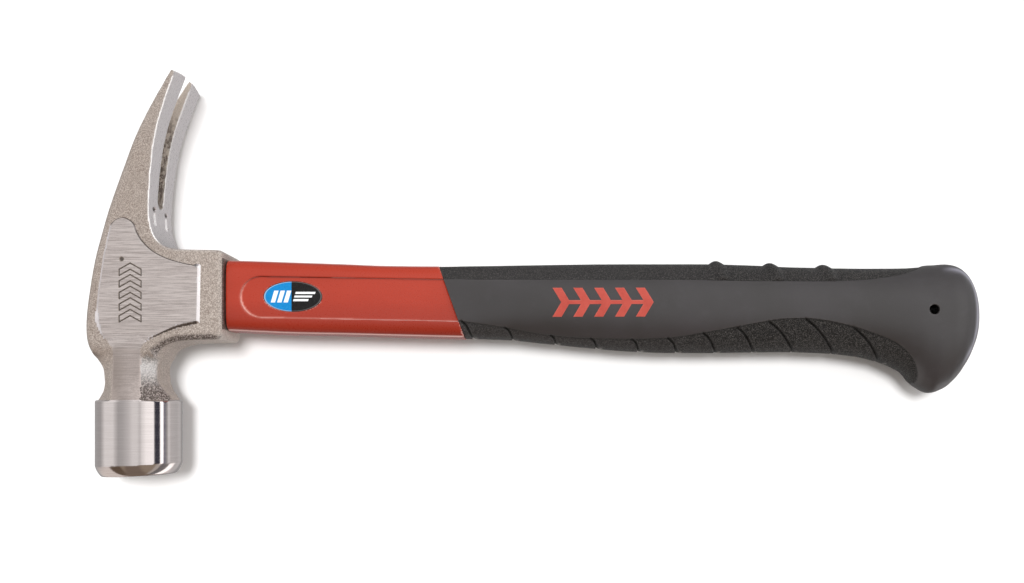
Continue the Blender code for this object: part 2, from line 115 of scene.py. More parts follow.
JACKET = ((34.0, 13.35, -13.5, 10.5), (37.2, 13.3, -13.6, 10.5), (48.0, 13.0, -14.1, 10.5),
          (60.0, 12.6, -14.6, 10.5), (80.0, 11.9, -15.0, 10.6), (95.0, 11.3, -15.4, 10.8),
          (115.0, 11.1, -15.9, 11.0), (140.0, 11.1, -16.4, 11.2))
GRIP = ((108.0, 11.3, -16.0, 11.2, 5.0), (116.0, 11.35, -16.05, 11.25, 4.8),
        (125.0, 11.6, -16.3, 11.4, 4.2), (140.0, 12.0, -16.8, 12.0, 3.1),
        (155.0, 12.4, -18.3, 12.6, 2.5), (171.0, 12.7, -19.9, 13.0, 2.25),
        (186.0, 12.8, -21.2, 13.3, 2.25), (201.0, 12.8, -21.8, 13.5, 2.25),
        (216.0, 12.8, -21.9, 13.6, 2.25), (232.0, 12.4, -21.7, 13.6, 2.25),
        (250.0, 11.6, -21.6, 13.6, 2.25), (262.0, 11.3, -22.0, 13.8, 2.25),
        (274.0, 11.1, -23.2, 14.3, 2.25), (284.0, 11.1, -25.6, 14.9, 2.25),
        (292.0, 11.2, -29.2, 15.5, 2.25), (298.0, 11.6, -34.8, 15.9, 2.25),
        (302.4, 12.0, -36.8, 16.1, 2.25), (306.5, 12.3, -35.5, 16.1, 2.25),
        (310.4, 12.0, -32.3, 15.6, 2.25), (314.2, 9.9, -27.0, 14.0, 2.25),
        (317.2, 5.7, -21.3, 10.8, 2.2), (319.1, 0.0, -16.0, 6.6, 2.2))

# Borders of the grip's textured bands, on either side: (x, y)
BAND_TOP = ((100.0, 5.8), (117.9, 5.7), (131.0, 5.4), (160.8, 5.3), (190.6, 5.3), (212.9, 5.1),
            (235.2, 4.7), (257.5, 4.7), (272.4, 5.1), (280.7, 5.9), (288.0, 7.2), (294.0, 9.0),
            (299.0, 11.4), (303.0, 14.5), (330.0, 30.0))
BAND_LOW = ((100.0, -6.4), (123.9, -10.0), (140.0, -12.3), (157.2, -15.1), (172.1, -16.2),
            (187.4, -16.6), (201.1, -16.2), (214.0, -14.4), (226.0, -12.3), (238.3, -10.1),
            (245.7, -9.2), (252.0, -9.1), (257.9, -9.7), (269.0, -12.0), (276.4, -14.3),
            (286.8, -18.8), (292.6, -24.2), (295.4, -30.0), (296.8, -36.0), (299.0, -48.0))
# Grooves across the lower band: upper end and the end at the underside
GROOVES = (
    (123.9, -10.0, 129.6, -17.0), (140.0, -12.2, 145.2, -17.8), (157.2, -15.1, 161.2, -19.2),
    (172.1, -16.2, 177.1, -20.8), (187.5, -16.6, 192.8, -21.8), (200.9, -16.2, 207.4, -22.2),
    (214.0, -14.4, 222.0, -22.2), (226.9, -12.6, 236.4, -22.2), (238.5, -10.4, 251.8, -22.2),
    (252.2, -9.5, 267.2, -23.0), (269.8, -12.6, 285.5, -26.6),
)
RIBS = ((220.7, 13.6), (241.2, 13.2), (261.4, 12.6))

# Row of chevrons on the grip
INLAY_X, INLAY_Y, INLAY_COUNT = (158.0, 195.5), -3.2, 5
INLAY_H, INLAY_ARM, INLAY_LEAN, INLAY_SPINE = 10.8, 3.4, 3.2, 1.5


# ------------------------------------------------------------------ curves and fields


def smooth(points, per_span=8):
    """A centripetal-looking Catmull-Rom curve through the points."""
    pts = np.array(points, float)
    ends = np.vstack([2 * pts[0] - pts[1], pts, 2 * pts[-1] - pts[-2]])
    curve = []
    for i in range(1, len(ends) - 2):
        a, b, c, d = ends[i - 1 : i + 3]
        for k in range(per_span):
            t = k / per_span
            curve.append(0.5 * (2 * b + (c - a) * t + (2 * a - 5 * b + 4 * c - d) * t * t
                                + (3 * b - a - 3 * c + d) * t ** 3))
    curve.append(pts[-1])
    return np.array(curve)


def spline(xs, ys, step=0.05):
    """y(x) through the points, monotone where they are, as a fine table."""
    xs, ys = np.array(xs, float), np.array(ys, float)
    h = np.diff(xs)
    slope = np.diff(ys) / h
    tangent = np.zeros(len(xs))
    tangent[0], tangent[-1] = slope[0], slope[-1]
    for i in range(1, len(xs) - 1):
        if slope[i - 1] * slope[i] > 0:
            w1, w2 = 2 * h[i] + h[i - 1], h[i] + 2 * h[i - 1]
            tangent[i] = (w1 + w2) / (w1 / slope[i - 1] + w2 / slope[i])
    fine = np.arange(xs[0], xs[-1] + step, step)
    k = np.clip(np.searchsorted(xs, fine, side="right") - 1, 0, len(h) - 1)
    t = (fine - xs[k]) / h[k]
    value = ((2 * t**3 - 3 * t**2 + 1) * ys[k] + (t**3 - 2 * t**2 + t) * h[k] * tangent[k]
             + (-2 * t**3 + 3 * t**2) * ys[k + 1] + (t**3 - t**2) * h[k] * tangent[k + 1])
    return lambda x: np.interp(x, fine, value)


def column(table, k, step=0.05):
    rows = sorted(table)
    return spline([r[0] for r in rows], [r[k] for r in rows], step)


def step_up(low, high, x):
    t = np.clip((x - low) / (high - low), 0.0, 1.0)
    return t * t * (3 - 2 * t)


def polygon_distance(x, y, points):
    """Signed distance to a closed outline, negative inside."""
    x, y = np.broadcast_arrays(np.asarray(x, float), np.asarray(y, float))
    best = np.full(x.shape, 1e9)
    inside = np.zeros(x.shape, bool)
    for (ax, ay), (bx, by) in zip(points, np.roll(points, -1, axis=0)):
        ex, ey = bx - ax, by - ay
        size = ex * ex + ey * ey
        if size < 1e-12:
            continue
        wx, wy = x - ax, y - ay
        t = np.clip((wx * ex + wy * ey) / size, 0, 1)
        best = np.minimum(best, (wx - ex * t) ** 2 + (wy - ey * t) ** 2)
        if abs(ey) > 1e-12:
            inside ^= ((ay > y) != (by > y)) & (x < ex * wy / ey + ax)
    return np.where(inside, -1.0, 1.0) * np.sqrt(best)


class Outline:
    """A closed outline's signed distance, kept on a grid and read between its points by cubics."""

    def __init__(self, points, step=0.25, margin=7.0):
        self.points = np.array(points, float)
        self.step = step
        self.low = self.points.min(0) - margin
        count = np.ceil((self.points.max(0) + margin - self.low) / step).astype(int) + 1
        xs = self.low[0] + step * np.arange(count[0])
        ys = self.low[1] + step * np.arange(count[1])
        self.grid = polygon_distance(xs[:, None], ys[None, :], self.points)

    def __call__(self, x, y):
        u = np.clip((x - self.low[0]) / self.step, 1.0, self.grid.shape[0] - 2.001)
        v = np.clip((y - self.low[1]) / self.step, 1.0, self.grid.shape[1] - 2.001)
        i, j = u.astype(int), v.astype(int)
        s, t = u - i, v - j

        def weights(f):
            return (-0.5 * f + f * f - 0.5 * f**3, 1 - 2.5 * f * f + 1.5 * f**3,
                    0.5 * f + 2 * f * f - 1.5 * f**3, -0.5 * f * f + 0.5 * f**3)

        ws, wt = weights(s), weights(t)
        total = 0.0
        for a in range(4):
            for b in range(4):
                total = total + self.grid[i - 1 + a, j - 1 + b] * ws[a] * wt[b]
        return total


def round_max(a, b, r):
    """The overlap of two bodies, with the edge between them rounded to radius r."""
    u, v = a + r, b + r
    corner = np.sqrt(np.maximum(u, 0) ** 2 + np.maximum(v, 0) ** 2) - r
    return np.where((u > 0) & (v > 0), corner, np.maximum(a, b))


def soft_min(a, b, k):
    """Two bodies joined with a fillet of about k."""
    h = np.maximum(k - np.abs(a - b), 0.0) / k
    return np.minimum(a, b) - h * h * k * 0.25


def rounded_rect(u, v, a, b, r):
    du, dv = np.abs(u) - (a - r), np.abs(v) - (b - r)
    return (np.sqrt(np.maximum(du, 0) ** 2 + np.maximum(dv, 0) ** 2)
            + np.minimum(np.maximum(du, dv), 0) - r)


def core_y(x):
    return CORE_Y0 + CORE_SLOPE * x


# ------------------------------------------------------------------ meshing


def gradient(field, p, e=0.02):
    g = np.empty_like(p)
    for a in range(3):
        up, down = p.copy(), p.copy()
        up[:, a] += e
        down[:, a] -= e
        g[:, a] = field(up[:, 0], up[:, 1], up[:, 2]) - field(down[:, 0], down[:, 1], down[:, 2])
    size = np.linalg.norm(g, axis=1, keepdims=True)
    return g / np.maximum(size, 1e-9)


def slope_size(field, p, e=0.02):
    g = np.empty_like(p)
    for a in range(3):
        up, down = p.copy(), p.copy()
        up[:, a] += e
        down[:, a] -= e
        g[:, a] = (field(up[:, 0], up[:, 1], up[:, 2])
                   - field(down[:, 0], down[:, 1], down[:, 2])) / (2 * e)
    return g


def contour(field, low, high, step):
    """Dual contouring of a field on a grid: (points, quads), with vertices on edges and corners."""
    low, step = np.array(low, float), np.array(step, float)
    count = np.ceil((np.array(high, float) - low) / step).astype(int) + 1
    axes = [low[a] + step[a] * np.arange(count[a]) for a in range(3)]
    values = np.empty(tuple(count), np.float64)
    for i in range(0, count[0], 16):
        part = axes[0][i : i + 16]
        values[i : i + 16] = field(part[:, None, None], axes[1][None, :, None],
                                   axes[2][None, None, :])
    inside = values < 0
    cells = count - 1
    quads, hits, norms, owners = [], [], [], []
    for a in range(3):
        b, c = (a + 1) % 3, (a + 2) % 3
        lo, hi = [slice(None)] * 3, [slice(None)] * 3
        lo[a], hi[a] = slice(0, -1), slice(1, None)
        cell = np.argwhere(inside[tuple(lo)] != inside[tuple(hi)])
        keep = ((cell[:, b] > 0) & (cell[:, c] > 0)
                & (cell[:, b] < cells[b]) & (cell[:, c] < cells[c]))
        cell = cell[keep]
        far = cell.copy()
        far[:, a] += 1
        f0 = values[tuple(cell.T)]
        f1 = values[tuple(far.T)]
        outward = f0 < 0
        start = low + cell * step
        t0, t1 = np.zeros(len(cell)), np.ones(len(cell))
        p = start.copy()
        for turn in range(5):
            width = t1 - t0
            t = np.clip((t0 * f1 - t1 * f0) / (f1 - f0), t0 + 0.02 * width, t1 - 0.02 * width)
            if turn % 2:
                t = 0.5 * t + 0.25 * (t0 + t1)
            if turn == 4:
                t = (t0 * f1 - t1 * f0) / (f1 - f0)
            p[:, a] = start[:, a] + t * step[a]
            if turn == 4:
                break
            f = field(p[:, 0], p[:, 1], p[:, 2])
            same = (f < 0) == (f0 < 0)
            t0, f0 = np.where(same, t, t0), np.where(same, f, f0)
            t1, f1 = np.where(same, t1, t), np.where(same, f1, f)
        n = gradient(field, p)
        around = []
        for db, dc in ((0, 0), (-1, 0), (-1, -1), (0, -1)):
            other = cell.copy()
            other[:, b] += db
            other[:, c] += dc
            around.append((other[:, 0] * cells[1] + other[:, 1]) * cells[2] + other[:, 2])
        quad = np.stack(around, axis=1)
        quad[~outward] = quad[~outward][:, ::-1]
        quads.append(quad)
        for k in range(4):
            owners.append(around[k])
            hits.append(p)
            norms.append(n)
    owner, p, n = np.concatenate(owners), np.concatenate(hits), np.concatenate(norms)
    quad = np.concatenate(quads)
    used, index = np.unique(owner, return_inverse=True)
    index = index.reshape(-1)
    size = len(used)

    def total(w):
        return np.bincount(index, weights=w, minlength=size)

    many = total(np.ones(len(index)))
    middle = np.stack([total(p[:, k]) / many for k in range(3)], axis=1)
    local = p - middle[index]
    offset = (n * local).sum(axis=1)
    ata = np.zeros((size, 3, 3))
    atb = np.zeros((size, 3))
    for i in range(3):
        atb[:, i] = total(n[:, i] * offset)
        for j in range(i, 3):
            ata[:, i, j] = ata[:, j, i] = total(n[:, i] * n[:, j])
    value, vector = np.linalg.eigh(ata)
    limit = np.maximum(value[:, 2:3] * 0.06, 1e-6)
    inverse = np.where(value > limit, 1.0 / np.maximum(value, 1e-9), 0.0)
    shift = np.einsum("nij,nj,nkj,nk->ni", vector, inverse, vector, atb)
    place = middle + shift
    cell_low = low + np.stack([used // (cells[1] * cells[2]), (used // cells[2]) % cells[1],
                               used % cells[2]], axis=1) * step
    place = np.clip(place, cell_low + 0.01 * step, cell_low + 0.99 * step)
    lookup = np.searchsorted(used, quad)
    return place, lookup


def build_mesh(name, points, faces, field, windows=(), cuts=3, normal_shift=0.3):
    """A mesh of the contour, in metres, with the field's own normals at every face corner.

    windows: functions of (face centres, face normals) that say which faces are cut finer and drawn
    back onto the field, for detail smaller than the grid.
    """
    mesh = bpy.data.meshes.new(name)
    mesh.from_pydata(points.tolist(), [], faces.tolist())
    mesh.update()
    if windows:
        bm = bmesh.new()
        bm.from_mesh(mesh)
        bm.faces.ensure_lookup_table()
        centre = np.array([f.calc_center_median() for f in bm.faces])
        normal = np.array([f.normal for f in bm.faces])
        chosen = np.zeros(len(centre), bool)
        for window in windows:
            chosen |= window(centre, normal)
        edges = {e for i in np.flatnonzero(chosen) for e in bm.faces[i].edges}
        old = len(bm.verts)
        marked = {v.index for i in np.flatnonzero(chosen) for v in bm.faces[i].verts}
        bmesh.ops.subdivide_edges(bm, edges=list(edges), cuts=cuts, use_grid_fill=True)
        bm.verts.ensure_lookup_table()
        bm.verts.index_update()
        ids = sorted(marked) + list(range(old, len(bm.verts)))
        p = np.array([bm.verts[i].co for i in ids])
        for _ in range(3):
            f = field(p[:, 0], p[:, 1], p[:, 2])
            g = slope_size(field, p)
            p -= (np.clip(f, -0.3, 0.3) / np.maximum((g * g).sum(1), 0.25))[:, None] * g
        for i, q in zip(ids, p):
            bm.verts[i].co = q
        bm.to_mesh(mesh)
        bm.free()
    count = len(mesh.vertices)
    co = np.empty(count * 3)
    mesh.vertices.foreach_get("co", co)
    co = co.reshape(-1, 3)
    loops = len(mesh.loops)
    vertex = np.empty(loops, np.int32)
    mesh.loops.foreach_get("vertex_index", vertex)
    starts = np.empty(len(mesh.polygons), np.int32)
    totals = np.empty(len(mesh.polygons), np.int32)
    mesh.polygons.foreach_get("loop_start", starts)
    mesh.polygons.foreach_get("loop_total", totals)
    poly = np.repeat(np.arange(len(totals)), totals)
    centre = np.stack([np.bincount(poly, weights=co[vertex][:, k]) / totals for k in range(3)], 1)
    corner = co[vertex] + normal_shift * (centre[poly] - co[vertex])
    normal = gradient(field, corner)
    flat = np.empty(len(totals) * 3)
    mesh.polygons.foreach_get("normal", flat)
    flat = flat.reshape(-1, 3)[poly]
    odd = (normal * flat).sum(1) < 0.3
    normal[odd] = flat[odd]
    # how convex each vertex is: face centres around it lie below its tangent plane
    mean_n = np.stack([np.bincount(vertex, weights=normal[:, k], minlength=count)
                       for k in range(3)], 1)
    mean_n /= np.maximum(np.linalg.norm(mean_n, axis=1, keepdims=True), 1e-9)
    reach = centre[poly] - co[vertex]
    drop = -(reach * mean_n[vertex]).sum(1) / np.maximum(np.linalg.norm(reach, axis=1), 1e-6)
    convex = np.bincount(vertex, weights=drop, minlength=count) / np.maximum(
        np.bincount(vertex, minlength=count), 1)
    return mesh, co, vertex, poly, centre, normal, convex


def finish_mesh(name, built, attributes=None):
    """Moves a built mesh to the row frame in metres and stores its normals and attributes."""
    mesh, co, vertex, poly, centre, normal, convex = built
    mesh.vertices.foreach_set("co", ((co + ORIGIN) * MM).astype(np.float32).reshape(-1))
    mesh.polygons.foreach_set("use_smooth", np.ones(len(mesh.polygons), bool))
    for key, values in (attributes or {}).items():
        values = np.asarray(values, np.float32)
        if values.ndim == 1:
            layer = mesh.attributes.new(
                key, "FLOAT", "POINT" if len(values) == len(co) else "CORNER")
            layer.data.foreach_set("value", values)
        else:
            layer = mesh.attributes.new(
                key, "FLOAT_COLOR", "POINT" if len(values) == len(co) else "CORNER")
            rgba = np.concatenate([values, np.ones((len(values), 1), np.float32)], axis=1)
            layer.data.foreach_set("color", rgba.reshape(-1))
    mesh.update()
    mesh.normals_split_custom_set(normal.tolist())
    obj = bpy.data.objects.new(name, mesh)
    bpy.context.scene.collection.objects.link(obj)
    return obj


# ------------------------------------------------------------------ head

_back = smooth(BACK_EDGE)
_under = smooth(UNDER_EDGE)
_inner = smooth(INNER_EDGE)
FORGING = Outline(np.vstack([_back, _under, _inner]))
PANEL = Outline(np.vstack([smooth(PANEL_TOP), smooth(PANEL_BACK), smooth(PANEL_LOW)]), margin=9.0)
block_half = column(BLOCK_HALF, 1)
claw_mid = column(CLAW_MID, 1)
claw_thick = column(CLAW_MID, 2)
neck_left, neck_right, neck_half = column(NECK, 1), column(NECK, 2), column(NECK, 3)


def edge_radius(x, y):
    """Radius between the forging's sides and its outline: soft at the back, tight where ground."""
    thick = claw_thick(y)
    inner_claw = step_up(-0.2, 0.3, (x - claw_mid(y)) / thick)
    inner_body = step_up(-4.0, 6.0, y) * step_up(-4.0, 5.0, x)
    inner = np.where(y > 20, inner_claw, 0.0)
    blend = step_up(10.0, 20.0, y)
    inner = blend * inner_claw + (1 - blend) * inner_body
    outer_r = np.minimum(3.0, 0.30 * thick)
    inner_r = np.minimum(0.55 + 0.25 * (1 - blend), 0.25 * thick)
    r = outer_r * (1 - inner) + inner_r * inner
    end = step_up(30.5, 34.5, x)
    return r * (1 - end) + 1.6 * end


def slot_field(x, y, az):
    """The nail slot as a wedge with a round root, wider towards the handle."""
    along = np.clip((y - SLOT_ROOT_Y - 3.2) / (SLOT_MOUTH_Y - SLOT_ROOT_Y - 3.2), 0.0, 1.2)
    wide = SLOT_ROOT[0] + 0.5 + (SLOT_MOUTH[0] - SLOT_ROOT[0] + 0.1) * along
    slim = SLOT_ROOT[1] + (SLOT_MOUTH[1] - SLOT_ROOT[1]) * along
    thick = np.maximum(claw_thick(y), 1.5)
    across = np.clip((x - claw_mid(y)) / thick + 0.5, -0.1, 1.1)
    half = slim + (wide - slim) * across
    dy = np.maximum(SLOT_ROOT_Y + 3.2 - y, 0.0) / 3.2
    return np.maximum(np.sqrt((az / half) ** 2 + dy * dy) - 1.0, -0.95) * half


def head_plain(x, y, z):
    az = np.abs(z)
    d2 = FORGING(x, y)
    block = round_max(d2, az - block_half(y), edge_radius(x, y))
    tip = (x - 18.0) * 0.42 + (y - 81.9) * 0.907 - CLAW_CROWN * (1 - (az / 15.9) ** 2)
    block = round_max(block, tip, 0.22)
    # ground panel, with a sloping edge
    k = (0.65 + 1.05 * step_up(24.6, 25.8, x) + 1.35 * step_up(-5.0, -9.0, y)
         * (1 - step_up(24.6, 25.8, x)) + 0.7 * step_up(-4.0, -7.0, x)
         + 0.5 * step_up(-17.6, -20.0, y) * (1 - step_up(5.2, 7.0, np.abs(x))))
    level = PANEL_HALF - 0.53 * step_up(-9.0, -19.8, y)
    wall = (PANEL(x, y) + (az - level) * k) / np.sqrt(1 + k * k)
    panel = np.maximum(np.maximum(wall, az - level), 12.3 - az)
    # eight-sided neck, its near facet turning round to meet the poll
    h, left, right = neck_half(y), neck_left(y), neck_right(y)
    bend = 0.0314 * step_up(-27.0, -39.0, y)
    neck = az - (h - bend * x * x)
    for side, edge in ((1.0, right), (-1.0, -left)):
        sx = side * x
        wall_share = NECK_WALL[0] + (NECK_WALL[1] - NECK_WALL[0]) * step_up(-30.5, -38.6, y)
        rise, run = (1 - wall_share) * h, edge - NECK_FLAT
        size = np.sqrt(rise * rise + run * run)
        facet = ((sx - NECK_FLAT) * rise + (az - h + 0.45 * bend * NECK_FLAT**2) * run) / size
        neck = round_max(neck, facet, 0.35)
        neck = round_max(neck, sx - edge, 1.2)
    neck = np.maximum(neck, np.maximum(y + 14.0, -39.95 - y))
    # poll with its striking face
    rho = np.sqrt(x * x + z * z)
    yc = y - FACE_CANT * x
    poll = round_max(rho - POLL_R, y - POLL_TOP_Y, 0.8)
    rim = np.sqrt(np.maximum(rho - 6.24, 0.0) ** 2 + np.minimum(yc + 61.31, 0.0) ** 2) - 10.0
    face = FACE_Y - yc + 0.3 * (rho / FACE_R) ** 2
    poll = np.maximum(poll, round_max(rim, face, 0.4))
    body = soft_min(block, neck, 1.2 + 2.6 * step_up(-15.0, -21.0, y) * step_up(4.0, 7.0, np.abs(x)))
    body = np.minimum(body, panel)
    body = np.minimum(body, poll)
    body = round_max(body, -slot_field(x, y, az), 0.42)
    # eye, open at both ends of the head
    eye = rounded_rect(y - core_y(x), z, EYE_A, EYE_B, EYE_R)
    top = np.maximum(eye, x + 6.5)
    socket = np.maximum(eye, 29.0 - x)
    body = round_max(body, -top, 0.9)
    return np.maximum(body, -socket)


def mark_edges():
    """Outlines of the punched row on the cheek: five chevrons, one above the other."""
    x0, x1, arm, lean, pitch = -2.6, 5.5, 2.3, 2.3, 4.3
    xm = (x0 + x1) / 2
    runs = []
    for k in range(5):
        y = -10.6 + k * pitch
        ring = [(x0, y), (xm, y + lean), (x1, y), (x1, y + arm), (xm, y + arm + lean),
                (x0, y + arm)]
        runs += list(zip(ring, ring[1:] + ring[:1]))
    return runs


MARK = mark_edges()


def mark_depth(x, y):
    """Depth of the punched row and of the hardness-test dimple above it."""
    x, y = np.broadcast_arrays(x, y)
    near = (np.abs(x - 1.5) < 6.5) & (np.abs(y - 0.5) < 15.5)
    depth = np.zeros(x.shape)
    if not near.any():
        return depth
    px, py = x[near], y[near]
    best = np.full(px.shape, 1e9)
    for (ax, ay), (bx, by) in MARK:
        ex, ey = bx - ax, by - ay
        t = np.clip(((px - ax) * ex + (py - ay) * ey) / (ex * ex + ey * ey), 0, 1)
        best = np.minimum(best, (px - ax - ex * t) ** 2 + (py - ay - ey * t) ** 2)
    stroke = 0.26 * (1 - step_up(0.10, 0.30, np.sqrt(best)))
    dimple = 0.35 * (1 - step_up(0.35, 1.05, np.hypot(px + 1.7, py - 12.7)))
    depth[near] = np.maximum(stroke, dimple)
    return depth


def root_marks(x, y, az):
    """The two dimples beside the slot's root, each with a short shallow run below it."""
    x, y, az = np.broadcast_arrays(x, y, az)
    depth = np.zeros(x.shape)
    near = (x > 5.0) & (y > 23.0) & (y < 35.0) & (az > 4.3) & (az < 9.6)
    if near.any():
        py, pz = y[near], az[near]
        dimple = 0.75 * (1 - step_up(0.55, 1.0, np.hypot((py - 32.3) / 1.05,
                                                        (pz - 6.9) / 2.2)))
        u = np.maximum(np.abs(py - 28.6) - 2.0, 0.0)
        run = 0.20 * (1 - step_up(0.30, 0.7, np.hypot(u, (pz - 6.6) * 0.42)))
        pit = 0.35 * (1 - step_up(0.2, 0.6, np.hypot(py - 27.2, (pz - 8.3) * 0.8)))
        depth[near] = np.maximum(np.maximum(dimple, run), pit)
    return depth


def head_field(x, y, z):
    az = np.abs(z)
    d = head_plain(x, y, z)
    return d + np.where(az > 13.0, mark_depth(x, y), 0.0) + root_marks(x, y, az)


def make_head():
    s = 13.6 / 23
    points, faces = contour(head_plain, (-17.5, -70.5, -28 * s), (37.2, 86.5, 28 * s + 0.01),
                            (0.6, 0.6, s))

    def cheek_window(c, n):
        return ((np.abs(n[:, 2]) > 0.97) & (np.abs(c[:, 2]) > 13.75)
                & (np.abs(c[:, 0] - 1.4) < 5.3) & (c[:, 1] > -12.0) & (c[:, 1] < 14.8))

    def root_window(c, n):
        return ((n[:, 0] > 0.85) & (np.abs(np.abs(c[:, 2]) - 6.9) < 2.6)
                & (c[:, 1] > 25.0) & (c[:, 1] < 34.3) & (c[:, 0] > 5))

    built = build_mesh("head", points, faces, head_field, (cheek_window, root_window), cuts=3)
    mesh, co, vertex, poly, centre, normal, convex = built
    at = co[vertex] + 0.5 * (centre[poly] - co[vertex])
    x, y, az = at[:, 0], at[:, 1], np.abs(at[:, 2])
    # the areas are told apart face by face, so that their borders follow the edges
    mean = np.stack([np.bincount(poly, weights=v) for v in (*normal.T, *at.T)], 1)
    mean /= np.bincount(poly)[:, None]
    face_normal, face_at = mean[poly, :3], mean[poly, 3:]
    nz, nx, ny = np.abs(face_normal[:, 2]), face_normal[:, 0], face_normal[:, 1]
    x, y, az = face_at[:, 0], face_at[:, 1], np.abs(face_at[:, 2])
    panel = PANEL(x, y)
    on_panel = (az > 13.2) & (nz > 0.965) & (y > -20.2) & (panel < 0.1) & (y < 29)
    bevel = ((az > 13.34) & (nz < 0.975) & (y > -18.0) & (panel > -0.5) & (panel < 1.4)
             & (y < 29))
    polished = y < POLL_TOP_Y + 0.05
    on_neck = ((y <= -19.4) & (y > POLL_TOP_Y - 0.2) & (np.abs(x) < NECK_FLAT + 0.2)
               & (nz > 0.8))
    ground = ((nx > 0.35) & (y > 14.5) & (x < 21.0) & (x - claw_mid(y) > 0.18 * claw_thick(y))
              & (nz < 0.75))
    slot = slot_field(x, y, az) < 0.25
    ground &= ~(slot & (nz > 0.55)) & (panel > 1.8)
    finish = np.zeros((len(x), 3), np.float32)
    finish[:, 0] = on_panel | on_neck
    finish[:, 1] = polished
    finish[:, 2] = ground | bevel
    edge = np.clip(convex * 2.6 - 0.15, 0.0, 1.0) * (co[:, 1] > -18.0)
    # painted highlights: bright lines where ground meets blasted faces, on the collar's mouth and the
    # panel's end bevel
    ex, ey, ez = co[:, 0], co[:, 1], np.abs(co[:, 2])
    outline = FORGING(ex, ey)
    off = np.hypot(block_half(ey) - ez, outline)
    off = np.minimum(off, np.where(ey > SLOT_ROOT_Y + 1.5,
                                   np.hypot(slot_field(ex, ey, ez), outline), 9.0))
    shine = ((1 - step_up(0.16, 0.62, off)) * (ex > claw_mid(ey)) * step_up(16.0, 20.0, ey)
             * step_up(81.0, 79.5, ey))
    mouth = (co[:, 0] > 34.7) & (np.abs(co[:, 2]) > 12.3) & (np.abs(co[:, 1]) < 14.5)
    shine = np.maximum(shine, mouth * np.clip(convex * 2.5, 0, 0.6))[vertex]
    shine = np.maximum(shine, 0.62 * (bevel & (x > 26.65) & (np.abs(y) < 12.0)))
    walls = (slot & ~ground).astype(np.float32)
    cx, cy, cz = co[:, 0], co[:, 1], np.abs(co[:, 2])
    # the punched row and the dimples are coloured darker, deepest parts darkest; their shallow runs
    # are painted pale with the highlight lines
    dark = np.where(cz > 13.0, mark_depth(cx, cy) / 0.26, 0.0)
    dark = np.maximum(dark, np.clip((root_marks(cx, cy, cz) - 0.22) / 0.2, 0, 1))
    pale = np.clip(root_marks(cx, cy, cz) / 0.2, 0, 1) * (dark < 0.1)
    shine = np.maximum(shine, pale[vertex])
    dark = np.clip(dark, 0, 1)[vertex]
    # painted shade on the panel's bevel where it faces the claw or the poll
    dark = np.maximum(dark, bevel * (x < 25.8) * 0.80 * step_up(0.10, 0.35, ny))
    dark = np.maximum(dark, bevel * (x < 25.8) * 0.85 * step_up(0.15, 0.40, -ny))
    # painted shade on the collar's end face round the handle
    socket = (nx > 0.6) & (x > 34.8) & (az < 12.9) & (np.abs(y) < 13.2)
    # painted glints: coarse sparkle on the neck's handle side and along the collar's underside
    vertex_normal = np.stack([np.bincount(vertex, weights=v, minlength=len(co))
                              for v in normal.T], 1)
    vertex_normal /= np.maximum(np.linalg.norm(vertex_normal, axis=1), 1e-9)[:, None]
    vx, vy, vz = vertex_normal[:, 0], vertex_normal[:, 1], np.abs(vertex_normal[:, 2])
    facet = (step_up(0.16, 0.42, vx) * step_up(3.0, 5.4, cx) * step_up(-15.5, -19.5, cy)
             * step_up(-41.0, -39.4, cy) * step_up(17.0, 13.0, cx))
    under = (step_up(-0.16, -0.5, vy) * step_up(8.0, 13.0, cx) * step_up(-13.0, -15.5, cy)
             * (cy > -28.0))
    facet *= step_up(0.10, 0.45, vz)
    under *= step_up(0.16, 0.50, vz)
    glint = np.maximum(facet, under)
    pale_wall = step_up(0.42, 0.15, vz) * step_up(6.0, 9.0, cx) * step_up(-11.0, -15.0, cy)
    pale_wall *= cy > POLL_TOP_Y
    behind = np.where(cx < claw_mid(cy), 1.0, 0.0)
    # convex edges painted lighter: partly edge wear, partly painted highlight, kept faint on the back
    # side
    edge = edge * (1 - 0.75 * behind)
    # painted shade along the back edges, where the sides turn away
    shade = step_up(0.84, 0.36, vz) * behind * (cy > -26.0)
    facet *= 0.88
    # painted highlight: a hot spot on the neck's concave handle-side facet
    painted_hotspot = np.exp(-((cy + 28.0) / 4.2) ** 2) * step_up(13.5, 8.5, cx) * facet
    return finish_mesh("hammer_head", built,
                       {"finish": finish, "edge": edge, "slot_wall": walls,
                        "dark": dark, "socket": socket.astype(np.float32),
                        "shine": shine, "glint": glint, "painted_hotspot": painted_hotspot,
                        "pale_wall": pale_wall, "shade": shade})


# ------------------------------------------------------------------ handle jacket

jacket_top, jacket_bottom, jacket_half = (column(JACKET, k) for k in (1, 2, 3))


def oval_section(y, z, top, bottom, half, power):
    """Nearly the distance to a superellipse across the handle."""
    a, mid = (top - bottom) / 2, (top + bottom) / 2
    u, v = np.abs(y - mid) / a, np.abs(z) / half
    u, v = np.maximum(u, 1e-6), np.maximum(v, 1e-6)
    total = u**power + v**power
    f = total ** (1 / power) - 1
    common = total ** (1 / power - 1)
    slope = np.sqrt((common * u ** (power - 1) / a) ** 2 + (common * v ** (power - 1) / half) ** 2)
    return f / np.maximum(slope, 0.02)


def recess_field(x, y):
    fall = (RECESS_Y[1] - RECESS_Y[0]) / (125.0 - RECESS_X0)
    mid = RECESS_Y[0] + fall * (x - RECESS_X0)
    along = np.maximum(RECESS_X0 - x, 0.0)
    return np.sqrt(along**2 + (y - mid) ** 2) - RECESS_R


